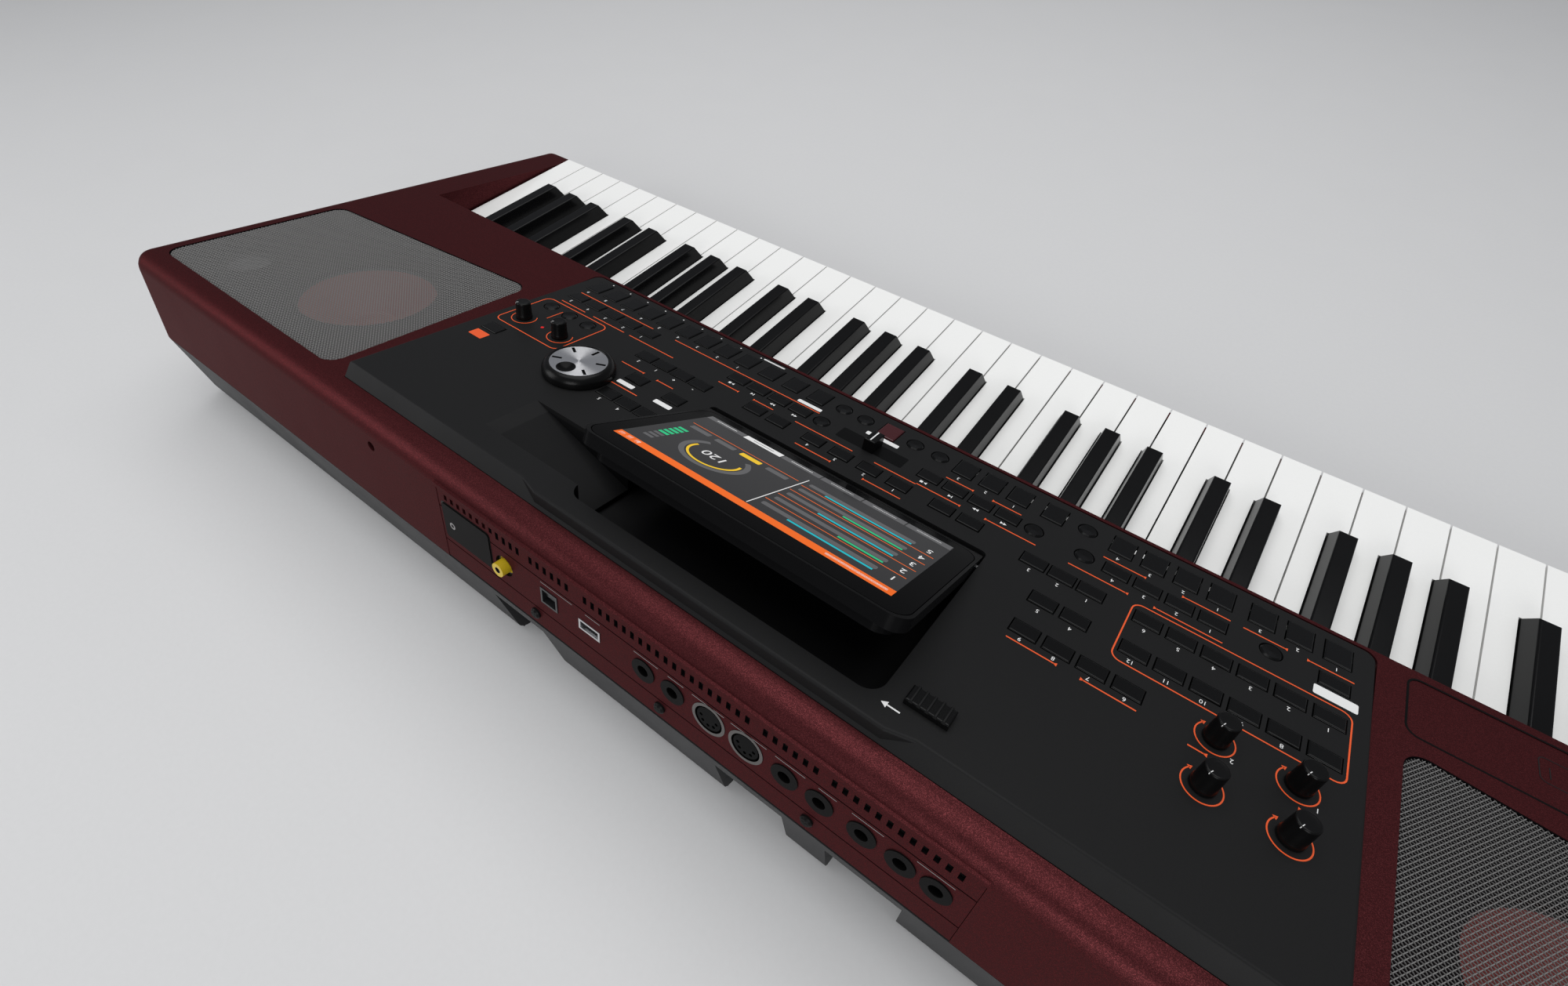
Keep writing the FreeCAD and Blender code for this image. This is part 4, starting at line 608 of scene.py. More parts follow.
@dataclass(frozen=True)
class CircuitBoard(Surface):
    """Lacquered board with copper tracks under its mask."""

    greens: tuple[Colour, Colour] = ((0.010, 0.060, 0.022), (0.014, 0.075, 0.028))
    track: Colour = (0.035, 0.13, 0.05)
    grain: float = 1500.0
    roughness: Span = (0.25, 0.45)

    def inputs(self, tree: Tree) -> dict:
        """Give the shader's inputs."""
        first, second, track = ((*colour, 1.0) for colour in (*self.greens, self.track))
        tracks = node(tree, "TexBrick", {
            "Vector": object_place(tree), "Color1": first, "Color2": second, "Mortar": track,
            "Scale": 60.0, "Mortar Size": 0.03, "Brick Width": 0.9, "Row Height": 0.22,
        })
        grain = grained(tree, self.grain)
        return {
            "Base Color": tracks.outputs["Color"],
            "Roughness": spread(tree, grain.outputs["Drift"], self.roughness),
        }


@dataclass(frozen=True)
class Glow(Surface):
    """A lit part of the screen, faintly uneven as a back light is."""

    colour: Colour
    brightness: float = 0.85
    unlit: float = 0.1
    grain: float = 4000.0
    tones: Span = (0.9, 1.08)
    roughness: Span = (0.08, 0.16)
    gloss: float = 0.02

    def inputs(self, tree: Tree) -> dict:
        """Give the shader's inputs."""
        drift = grained(tree, self.grain).outputs["Drift"]
        return {
            "Base Color": (*shaded(self.colour, self.unlit), 1.0),
            "Emission Color": toned(tree, drift, self.colour, self.tones),
            "Emission Strength": self.brightness,
            "Roughness": spread(tree, drift, self.roughness),
            "Specular IOR Level": self.gloss,
        }


BURGUNDY: tuple[Colour, Colour] = ((0.042, 0.0100, 0.0112), (0.132, 0.030, 0.033))
WOOFER: tuple[Colour, float, float] = ((0.20, 0.043, 0.039), 42.5, 47.0)
TWEETER: tuple[Colour, float, float] = ((0.12, 0.12, 0.122), 13.0, 16.0)


class Finish(Enum):
    """Every finish on the keyboard and under it."""

    # Both paints carry painted shade, black below the face in the speaker recesses and in the rear bay.
    PAINT = FlakePaint("burgundy_paint", *BURGUNDY, SHELL, 0.0, ((-502.5, -257.5), (301.0, 502.5)),
                       (52.0, 200.0))
    PLATE = FlakePaint("plate_paint", *BURGUNDY, REAR, PLATE_OUT, ((-140.0, 183.0),), (0.0, 60.0))
    BASE = Moulding("lower_case", (0.022, 0.022, 0.023), 0.5, 1600.0, 0.03, gloss=0.15)
    MATT = Moulding("panel_black", (0.0105, 0.0105, 0.0107), 0.5, 2600.0, 0.02, gloss=0.1)
    BUTTON = Moulding("button_black", (0.0035, 0.0035, 0.0036), 0.22, 3000.0, 0.004, gloss=0.15)
    START = Moulding("start_red", (0.045, 0.003, 0.005), 0.25, 3000.0, 0.006, 0.3)
    KNOB = Moulding("knob_black", (0.0035, 0.0035, 0.0036), 0.28, 3000.0, 0.004, gloss=0.14)
    # The white keys carry painted shade on their tails under the panel.
    WHITE_KEY = KeyPlastic("ivory_plastic", (0.87, 0.87, 0.85), 0.2, 900.0, 0.004, 0.3, 0.02)
    BLACK_KEY = Moulding("ebony_plastic", (0.004, 0.004, 0.0042), 0.2, 1400.0, 0.006, gloss=0.13)
    HOUSING = Moulding("display_gloss", (0.005, 0.005, 0.0053), 0.22, 2500.0, 0.003, gloss=0.02)
    GLASS = Moulding("glass_black", (0.004, 0.004, 0.0043), 0.1, 3000.0, 0.001, gloss=0.008)
    TRAY = Moulding("tray_black", (0.006, 0.006, 0.0063), 0.5, 2200.0, 0.02, gloss=0.1)
    SOCKET = Moulding("socket_black", (0.006, 0.006, 0.006), 0.35, 2500.0, 0.008, gloss=0.15)
    HATCH = Moulding("hatch_black", (0.0075, 0.007, 0.007), 0.45, 2200.0, 0.015, gloss=0.03)
    RUBBER = Moulding("rubber_black", (0.012, 0.012, 0.012), 0.75, 1500.0, 0.04)
    JACK = RearSocket("jack_nut", (0.003, 0.003, 0.003), (0.006, 0.0057, 0.0057), 0.0, 0.03)
    DIN = RearSocket("din_rim", (0.003, 0.003, 0.003), (0.15, 0.14, 0.135), 1.0, 0.03)
    PHONO = PhonoSocket("phono_yellow", 130.1, 27.0)
    USB = UsbSocket("usb_shells", 82.0)
    STEEL = Moulding("dark_steel", (0.007, 0.0067, 0.0067), 0.35, 2500.0, 0.004, gloss=0.06)
    BRIGHT = Metal("bright_steel", (0.62, 0.62, 0.63), 0.22)
    FRAME = Metal("galvanised", (0.42, 0.43, 0.44), 0.45, 120.0)
    WIRE = Moulding("grille_wire", (0.19, 0.187, 0.183), 0.5, 2500.0, 0.01, gloss=0.04)
    DIAL_TOP = SpunMetal("dial_silver", (0.80, 0.80, 0.81), PANEL, *DIAL_PLACE)
    WOOFER_RIGHT = SpeakerCone("woofer_right_cone", 367.0, 134.5, *WOOFER)
    WOOFER_LEFT = SpeakerCone("woofer_left_cone", -323.5, 134.5, *WOOFER)
    TWEETER_RIGHT = SpeakerCone("tweeter_right_dome", 460.5, 166.0, *TWEETER)
    TWEETER_LEFT = SpeakerCone("tweeter_left_dome", -460.5, 166.0, *TWEETER)
    BOARD = CircuitBoard("circuit_board")
    ORANGE = Moulding("orange_print", (0.78, 0.10, 0.022), 0.5, 3000.0, 0.002, 0.0, 0.05)
    RED = Moulding("red_print", (0.75, 0.012, 0.014), 0.4, 3000.0, 0.002, 0.0, 0.05)
    WHITE = Moulding("white_print", (0.78, 0.78, 0.77), 0.5, 3000.0, 0.002, 0.0, 0.04)
    GREY = Moulding("grey_print", (0.22, 0.21, 0.21), 0.5, 3000.0, 0.002, 0.0, 0.04)
    BLACK = Moulding("black_print", (0.003, 0.003, 0.003), 0.3, 3000.0, 0.002, gloss=0.08)
    # Painted shade: a darkened copy of the burgundy, drawn in the touch strip's grooves.
    GROOVE = Moulding("groove_shade_ink", (0.005, 0.001, 0.0012), 0.5, 3000.0, 0.002)
    LIT_BACK = Glow("lit_background", (0.040, 0.040, 0.042))
    LIT_PALE = Glow("lit_pale", (0.12, 0.12, 0.125))
    LIT_ORANGE = Glow("lit_orange", (0.92, 0.16, 0.022))
    LIT_WHITE = Glow("lit_white", (0.82, 0.82, 0.82))
    LIT_YELLOW = Glow("lit_yellow", (0.90, 0.58, 0.03))
    LIT_GREEN = Glow("lit_green", (0.03, 0.55, 0.24))
    LIT_CYAN = Glow("lit_cyan", (0.02, 0.50, 0.58))
    FLOOR = Moulding("floor_pale", (0.62, 0.62, 0.62), 0.6, 300.0, 0.02, 0.0, 0.02)

    @property
    def material(self) -> bpy.types.Material:
        """The finish's material, built the first time it is asked for."""
        return bpy.data.materials.get(self.value.name) or self.value.make()


NODE_FINISHES: dict[str, Finish] = {
    "top_shell": Finish.PAINT, "connector_plate": Finish.PLATE, "touch_strip": Finish.PAINT,
    "bottom_case": Finish.BASE, "control_panel": Finish.MATT, "control_board": Finish.BOARD,
    "display_tray": Finish.TRAY, "display_housing": Finish.HOUSING, "display_glass": Finish.GLASS,
    "display_hinge_pins": Finish.BRIGHT, "display_lock": Finish.BUTTON, "crossfader_cap": Finish.BUTTON,
    "start_button": Finish.START, "keybed_frame": Finish.FRAME, "key_contact_board": Finish.BOARD,
    "woofer_left": Finish.WOOFER_LEFT, "woofer_right": Finish.WOOFER_RIGHT,
    "tweeter_left": Finish.TWEETER_LEFT, "tweeter_right": Finish.TWEETER_RIGHT,
    "joystick_housing": Finish.SOCKET, "joystick_gimbal": Finish.SOCKET, "joystick_lever": Finish.KNOB,
    "jack_sockets": Finish.JACK, "midi_sockets": Finish.DIN, "video_socket": Finish.PHONO,
    "usb_sockets": Finish.USB, "storage_hatch": Finish.HATCH, "ac_inlet": Finish.SOCKET,
    "case_screws": Finish.STEEL, "rubber_feet": Finish.RUBBER, "main_board": Finish.BOARD,
    "power_supply": Finish.FRAME, "value_dial": Finish.KNOB,
    "speaker_grille_left": Finish.WIRE, "speaker_grille_right": Finish.WIRE,
}


def node_finish(name: str) -> Finish:
    """Give the finish of a solid by its name."""
    if name in NODE_FINISHES:
        return NODE_FINISHES[name]
    if name.startswith("white_keys"):
        return Finish.WHITE_KEY
    if name.startswith("black_keys"):
        return Finish.BLACK_KEY
    return Finish.KNOB if "knob" in name else Finish.BUTTON


# The modelling bench

class Pick(Enum):
    """What a selection is made of."""

    VERTICES = "VERT"
    FACES = "FACE"


class Bench:
    """Blender's operators, used on one piece at a time as by hand."""

    @staticmethod
    def clear() -> None:
        """Go back to object mode with nothing selected."""
        if bpy.context.object and bpy.context.object.mode != "OBJECT":
            bpy.ops.object.mode_set(mode="OBJECT")
        bpy.ops.object.select_all(action="DESELECT")

    @staticmethod
    def take(piece: Piece) -> None:
        """Select one piece alone."""
        Bench.clear()
        piece.select_set(True)
        bpy.context.view_layer.objects.active = piece

    @staticmethod
    def join(piece: Piece) -> None:
        """Join what is selected to a piece."""
        piece.select_set(True)
        bpy.context.view_layer.objects.active = piece
        bpy.ops.object.join()

    @staticmethod
    def adopt(name: str, *finishes: Finish) -> Piece:
        """Name the new piece, give it its finishes and open it for editing.

        Args:
            name: the piece's name.
            *finishes: its finishes, in the order of its slots.

        Returns:
            The piece, in edit mode with faces selectable.
        """
        piece = bpy.context.object
        piece.name = piece.data.name = name
        for finish in finishes:
            piece.data.materials.append(finish.material)
        bpy.ops.object.mode_set(mode="EDIT")
        bpy.ops.mesh.select_mode(type=Pick.FACES.value)
        return piece

    @staticmethod
    def choose(piece: Piece, test: Callable[[Vector, Vector], bool]) -> None:
        """Select the faces whose middle and normal pass a test.

        Args:
            piece: the piece in edit mode.
            test: takes a face's middle and normal.
        """
        bpy.ops.mesh.select_all(action="DESELECT")
        mesh = bmesh.from_edit_mesh(piece.data)
        for face in mesh.faces:
            if test(face.calc_center_median(), face.normal):
                face.select_set(True)
        bmesh.update_edit_mesh(piece.data)

    @staticmethod
    def paint(piece: Piece, slot: int) -> None:
        """Give the selected faces the finish in a slot."""
        piece.active_material_index = slot
        bpy.ops.object.material_slot_assign()

    @staticmethod
    def cube(name: str, size: Triple, finish: Finish) -> Piece:
        """Begin a piece as a block about the origin.

        Args:
            name: the piece's name.
            size: its size along each axis in millimetres.
            finish: its finish.

        Returns:
            The piece in edit mode, with all of it selected.
        """
        Bench.clear()
        bpy.ops.mesh.primitive_cube_add(size=MM, location=ORIGIN)
        piece = Bench.adopt(name, finish)
        bpy.ops.transform.resize(value=size)
        return piece

    @staticmethod
    def turn(name: str, profile: Sequence[Point], finishes: Sequence[Finish],
             sides: int = 64) -> Piece:
        """Build a round piece from a disc that is pushed up ring by ring.

        Args:
            name: the piece's name.
            profile: pairs of radius and height in millimetres, from the foot to the crown.
            finishes: the piece's finishes.
            sides: number of sides of the disc.

        Returns:
            The piece in edit mode, with its crown selected.
        """
        Bench.clear()
        radius, height = profile[0]
        bpy.ops.mesh.primitive_circle_add(vertices=sides, radius=radius * MM, fill_type="NGON",
                                          location=ORIGIN)
        piece = Bench.adopt(name, *finishes)
        bpy.ops.mesh.select_all(action="SELECT")
        bpy.ops.transform.translate(value=(0.0, 0.0, height * MM))
        for wider, higher in profile[1:]:
            bpy.ops.mesh.extrude_region_move(
                TRANSFORM_OT_translate={"value": (0.0, 0.0, (higher - height) * MM)})
            share = wider / radius
            bpy.ops.transform.resize(value=(share, share, 1.0), center_override=(0.0, 0.0, higher * MM))
            radius, height = wider, higher
        return piece

    @staticmethod
    def block(piece: Piece, middle: Triple, size: Triple, slot: int) -> None:
        """Add a block to the piece that is being edited.

        Args:
            piece: the piece in edit mode.
            middle: the block's middle in millimetres.
            size: its size along each axis in millimetres.
            slot: the slot of its finish.
        """
        centre = tuple(value * MM for value in middle)
        bpy.ops.mesh.primitive_cube_add(size=MM, location=centre)
        bpy.ops.transform.resize(value=size, center_override=centre)
        Bench.paint(piece, slot)

    @staticmethod
    def modify(piece: Piece, kind: str, **settings) -> None:
        """Add a modifier and apply it.

        Args:
            piece: the piece in object mode.
            kind: the modifier's type.
            **settings: the modifier's own properties.
        """
        bpy.context.view_layer.objects.active = piece
        modifier = piece.modifiers.new(kind.lower(), kind)
        for name, value in settings.items():
            setattr(modifier, name, value)
        bpy.ops.object.modifier_apply(modifier=modifier.name)

    @staticmethod
    def repeat(piece: Piece, count: int, step: Triple, **settings) -> None:
        """Repeat a piece in a row.

        Args:
            piece: the piece in object mode.
            count: how many there are then.
            step: the way from one to the next in metres.
            **settings: other properties of the array.
        """
        Bench.modify(piece, "ARRAY", count=count, use_relative_offset=False, use_constant_offset=True,
                     constant_offset_displace=step, **settings)

    @staticmethod
    def outward() -> None:
        """Merge what lies together, turn the faces outwards and leave edit mode."""
        bpy.ops.mesh.select_all(action="SELECT")
        bpy.ops.mesh.remove_doubles(threshold=MERGE_DISTANCE * MM)
        bpy.ops.mesh.normals_make_consistent(inside=False)
        bpy.ops.object.mode_set(mode="OBJECT")

    @staticmethod
    def place(piece: Piece, matrix: Matrix) -> None:
        """Move a finished piece to its place and put the place into its mesh."""
        Bench.take(piece)
        piece.matrix_world = matrix
        bpy.ops.object.transform_apply(location=True, rotation=True, scale=True)

    @staticmethod
    def fit(piece: Piece, body: str, slot: str, *stands_for: str, crease: float = 35.0) -> None:
        """Smooth a piece, tie it to its body and report it.

        Args:
            piece: the piece in its place.
            body: the body that it moves with.
            slot: the record's material slot of its finish; not used.
            *stands_for: solids that it takes the place of.
            crease: angle in degrees past which an edge stays sharp.
        """
        Bench.take(piece)
        bpy.ops.object.shade_smooth_by_angle(angle=math.radians(crease))
        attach(piece, body)
        if stands_for:
            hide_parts(*stands_for)
        log.info("%s rides on %s, %d faces", piece.name, body, len(piece.data.polygons))


# Print

class Arrow(Enum):
    """The way a printed triangle points, as degrees of turn."""

    LEFT = 90.0
    RIGHT = -90.0
    INWARD = 135.0


@dataclass(frozen=True)
class Numeral:
    """A printed figure and its place on a face."""

    text: str
    across: float
    up: float
    height: float = 3.4


class Print:
    """Flat marks on one face, gathered in a single thin mesh."""

    CORNER_STEPS = 5
    RING_SIDES = 48
    DOT_SIDES = 20
    ARROW_SIDES = 3
    MIDDLE_REACH = 0.3
    LINE_REACH = 0.2
    SMALL_ARROW = 1.2
    FIGURE_STEPS = 3
    CREASE = 20.0

    def __init__(self, name: str, *inks: Finish) -> None:
        """Begin an empty print.

        Args:
            name: the piece's name.
            *inks: its inks, which the marks name by their order.
        """
        Bench.clear()
        bpy.ops.mesh.primitive_plane_add(size=MM, location=ORIGIN)
        self.piece = Bench.adopt(name, *inks)
        self.inks = inks
        self.numerals: list[tuple[Numeral, Finish]] = []
        bpy.ops.mesh.select_all(action="SELECT")
        bpy.ops.mesh.delete(type="VERT")

    def _ink(self, ink: Finish) -> None:
        """Give the marks just added their ink."""
        Bench.paint(self.piece, self.inks.index(ink))

    def _disc(self, across: float, up: float, radius: float, sides: int, ink: Finish,
              turn: float = 0.0) -> None:
        """Add a filled disc with straight sides.

        Args:
            across: its middle across the face.
            up: its middle up the face.
            radius: its radius.
            sides: number of its sides.
            ink: its ink.
            turn: degrees that it is turned.
        """
        bpy.ops.mesh.primitive_circle_add(vertices=sides, radius=radius * MM, fill_type="NGON",
                                          location=(across * MM, up * MM, 0.0),
                                          rotation=(0.0, 0.0, math.radians(turn)))
        self._ink(ink)

    def bar(self, left: float, right: float, low: float, high: float, ink: Finish) -> None:
        """Print a filled rectangle between two places across and two up the face."""
        centre = ((left + right) / 2 * MM, (low + high) / 2 * MM, 0.0)
        bpy.ops.mesh.primitive_plane_add(size=MM, location=centre)
        bpy.ops.transform.resize(value=(abs(right - left), abs(high - low), 1.0), center_override=centre)
        self._ink(ink)

    def line(self, left: float, right: float, up: float, ink: Finish, width: float = 0.7) -> None:
        """Print a line across the face."""
        self.bar(left, right, up - width / 2, up + width / 2, ink)

    def badge(self, left: float, right: float, low: float, high: float, ink: Finish,
              corner: float = 0.8, line: float = 0.0) -> None:
        """Print a rectangle with round corners, filled or as an outline.

        Args:
            left: its place across the face.
            right: its other end.
            low: its lower edge.
            high: its upper edge.
            ink: its ink.
            corner: radius of its corners.
            line: width of its outline, or 0 where it is filled.
        """
        self.bar(left, right, low, high, ink)
        bpy.ops.mesh.bevel(offset=corner * MM, offset_type="OFFSET", segments=self.CORNER_STEPS,
                           affect="VERTICES")
        if line:
            centre = Vector(((left + right) / 2 * MM, (low + high) / 2 * MM, 0.0))
            Bench.choose(self.piece, lambda middle, normal: (
                (middle - centre).length < self.MIDDLE_REACH * MM))
            bpy.ops.mesh.inset(thickness=line * MM)
            bpy.ops.mesh.delete(type="FACE")

    def ring(self, across: float, up: float, radius: float, ink: Finish, width: float = 0.7,
             opening: float = 0.0) -> None:
        """Print a ring, or an arc that is open towards the player.

        Args:
            across: its middle across the face.
            up: its middle up the face.
            radius: its outer radius.
            ink: its ink.
            width: width of its line.
            opening: degrees that are left open.
        """
        centre = Vector((across * MM, up * MM, 0.0))
        self._disc(across, up, radius, self.RING_SIDES, ink)
        bpy.ops.mesh.inset(thickness=width * MM)
        bpy.ops.mesh.delete(type="FACE")
        if opening:
            def open_part(middle: Vector, normal: Vector) -> bool:
                """Tell whether a face of this ring lies in its opening."""
                arm = middle - centre
                return (abs(arm.length - (radius - width / 2) * MM) < self.LINE_REACH * MM
                        and math.degrees(math.atan2(abs(arm.x), -arm.y)) < opening / 2)
            Bench.choose(self.piece, open_part)
            bpy.ops.mesh.delete(type="FACE")

    def dot(self, across: float, up: float, radius: float, ink: Finish) -> None:
        """Print a filled disc."""
        self._disc(across, up, radius, self.DOT_SIDES, ink)

    def arrow(self, across: float, up: float, size: float, way: Arrow, ink: Finish) -> None:
        """Print a triangle that points the given way."""
        self._disc(across, up, size, self.ARROW_SIDES, ink, way.value)

    def numeral(self, figure: Numeral, ink: Finish) -> None:
        """Print a figure."""
        self.numerals.append((figure, ink))

    def numbers(self, first: float, pitch: float, count: int, up: float, ink: Finish, start: int) -> None:
        """Number a row of buttons from the player's left."""
        for step in range(count):
            self.numeral(Numeral(str(start + step), first + step * pitch, up), ink)

    def split_line(self, left: float, right: float, gap: Span | None, up: float, ink: Finish) -> None:
        """Print a group line, broken by a gap that two small arrows point out of.

        Args:
            left: the line's end across the face.
            right: its other end.
            gap: the gap's two ends, or nothing where the line is whole.
            up: its place up the face.
            ink: its ink.
        """
        if gap is None:
            self.line(left, right, up, ink)
            return
        self.line(left, gap[0], up, ink)
        self.line(gap[1], right, up, ink)
        self.arrow(gap[0] + self.SMALL_ARROW / 2, up, self.SMALL_ARROW, Arrow.LEFT, ink)
        self.arrow(gap[1] - self.SMALL_ARROW / 2, up, self.SMALL_ARROW, Arrow.RIGHT, ink)

    def _set_numerals(self) -> None:
        """Turn the figures into meshes and join them to the print."""
        Bench.clear()
        for figure, ink in self.numerals:
            bpy.ops.object.text_add(location=(figure.across * MM, figure.up * MM, 0.0))
            letter = bpy.context.object
            letter.data.body = figure.text
            letter.data.size = figure.height * MM
            letter.data.align_x = letter.data.align_y = "CENTER"
            letter.data.resolution_u = self.FIGURE_STEPS
            letter.data.materials.append(ink.material)
            bpy.ops.object.convert(target="MESH")
            Bench.join(self.piece)
            Bench.clear()

    def lay(self, face: Face, out: float, body: str, slot: str) -> None:
        """Give the print its thickness, lay it on its face and tie it to its body.

        Args:
            face: the face that it lies on.
            out: height of the surface above that face.
            body: the body that it moves with.
            slot: the record's material slot of its ground.
        """
        self._set_numerals()
        Bench.modify(self.piece, "SOLIDIFY", thickness=PRINT_THICKNESS * MM, offset=1.0)
        Bench.place(self.piece, face.matrix(out=out + PRINT_LIFT))
        Bench.fit(self.piece, body, slot, crease=self.CREASE)


# Sub-assemblies

@dataclass
class Knob:
    """A smooth, almost straight knob with a fine white pointer.

    Each block of the pointer has its way in from the rim, its way down from the top, its length
    and its depth.
    """

    body: str
    across: float
    up: float
    radius: float
    height: float
    pointer_turn: float = -28.0
    pointer_width: float = 0.3
    pointer: Sequence[tuple[float, float, float, float]] = ((1.35, 0.15, 1.3, 0.34), (0.45, 0.85, 0.4, 0.9))

    def build(self) -> None:
        """Turn the knob, add its pointer and set it in the panel."""
        radius, height = self.radius, self.height
        piece = Bench.turn(self.body + "_cap", [
            (SHAFT_RADIUS, SHAFT_FOOT), (SHAFT_RADIUS, SKIRT_GAP), (radius + 0.15, SKIRT_GAP),
            (radius + 0.3, 0.65), (radius + 0.3, 2.2), (radius + 0.2, 2.7), (radius, 3.4),
            (radius - 0.25, height - 1.1), (radius - 0.32, height - 0.6),
            (radius - 0.5, height - 0.22), (radius - 0.8, height - 0.04), (radius - 1.2, height),
            (radius - 1.7, height - 0.08), (radius - 3.0, height - 0.12),
        ], [Finish.KNOB, Finish.WHITE])
        Bench.outward()
        bpy.ops.object.mode_set(mode="EDIT")
        for inward, down, length, depth in self.pointer:
            Bench.block(piece, (0.0, radius - inward, height - down), (self.pointer_width, length, depth), 1)
        bpy.ops.object.mode_set(mode="OBJECT")
        Bench.place(piece, PANEL.matrix(self.across, self.up)
                    @ Matrix.Rotation(math.radians(self.pointer_turn), 4, "Z"))
        Bench.fit(piece, self.body, "knob_plastic", self.body)


@dataclass
class DataDial:
    """The data dial: a gloss skirt, a spun top with five slots and a finger dimple."""

    radius: float = 22.0
    face_radius: float = 17.6
    top: float = 7.4
    dimple_radius: float = 5.8
    dimple_place: float = 10.1
    ball: float = 9.0
    rim: float = 0.3
    sides: int = 96
    slot: Triple = (6.0, 1.8, 1.6)
    slot_place: float = 13.4
    slot_angles: Sequence[float] = (-30.0, -90.0, -150.0, 150.0, 30.0)

    def _cutter(self) -> Piece:
        """Make the blocks and the ball that cut the slots and the dimple."""
        Bench.clear()
        rise = math.sqrt(self.ball ** 2 - self.dimple_radius ** 2)
        bpy.ops.mesh.primitive_uv_sphere_add(segments=48, ring_count=32, radius=self.ball * MM,
                                             location=(0.0, self.dimple_place * MM, (self.top + rise) * MM))
        bpy.ops.object.transform_apply(location=True)
        cutter = Bench.adopt("dial_cutter", Finish.BLACK)
        bpy.ops.object.mode_set(mode="OBJECT")
        for angle in self.slot_angles:
            block = Bench.cube("slot_cutter", self.slot, Finish.BLACK)
            bpy.ops.transform.translate(value=(self.slot_place * MM, 0.0, self.top * MM))
            bpy.ops.object.mode_set(mode="OBJECT")
            Bench.place(block, Matrix.Rotation(math.radians(angle), 4, "Z"))
            Bench.join(cutter)
        return cutter

    def build(self) -> None:
        """Turn the dial, cut its top and set it in the panel."""
        radius, face, top = self.radius, self.face_radius, self.top
        piece = Bench.turn("value_dial_wheel", [
            (SHAFT_RADIUS, SHAFT_FOOT), (SHAFT_RADIUS, SKIRT_GAP), (radius - 0.4, SKIRT_GAP),
            (radius, 0.9), (radius, 3.6),
            (radius - 0.3, 4.6), (radius - 0.9, 5.8), (radius - 1.7, 6.9), (radius - 2.5, 7.6),
            (face + 1.3, 7.95), (face + 0.7, 8.0), (face + 0.25, 7.85), (face, top),
        ], [Finish.KNOB, Finish.DIAL_TOP, Finish.BLACK], self.sides)
        bpy.ops.mesh.inset(thickness=self.rim * MM)
        Bench.paint(piece, 1)
        Bench.outward()
        cutter = self._cutter()
        Bench.clear()
        Bench.modify(piece, "BOOLEAN", object=cutter, operation="DIFFERENCE", solver="EXACT",
                     material_mode="TRANSFER")
        bpy.data.objects.remove(cutter)
        Bench.place(piece, PANEL.matrix(*DIAL_PLACE))
        Bench.fit(piece, "value_dial", "dial_plastic", "value_dial")


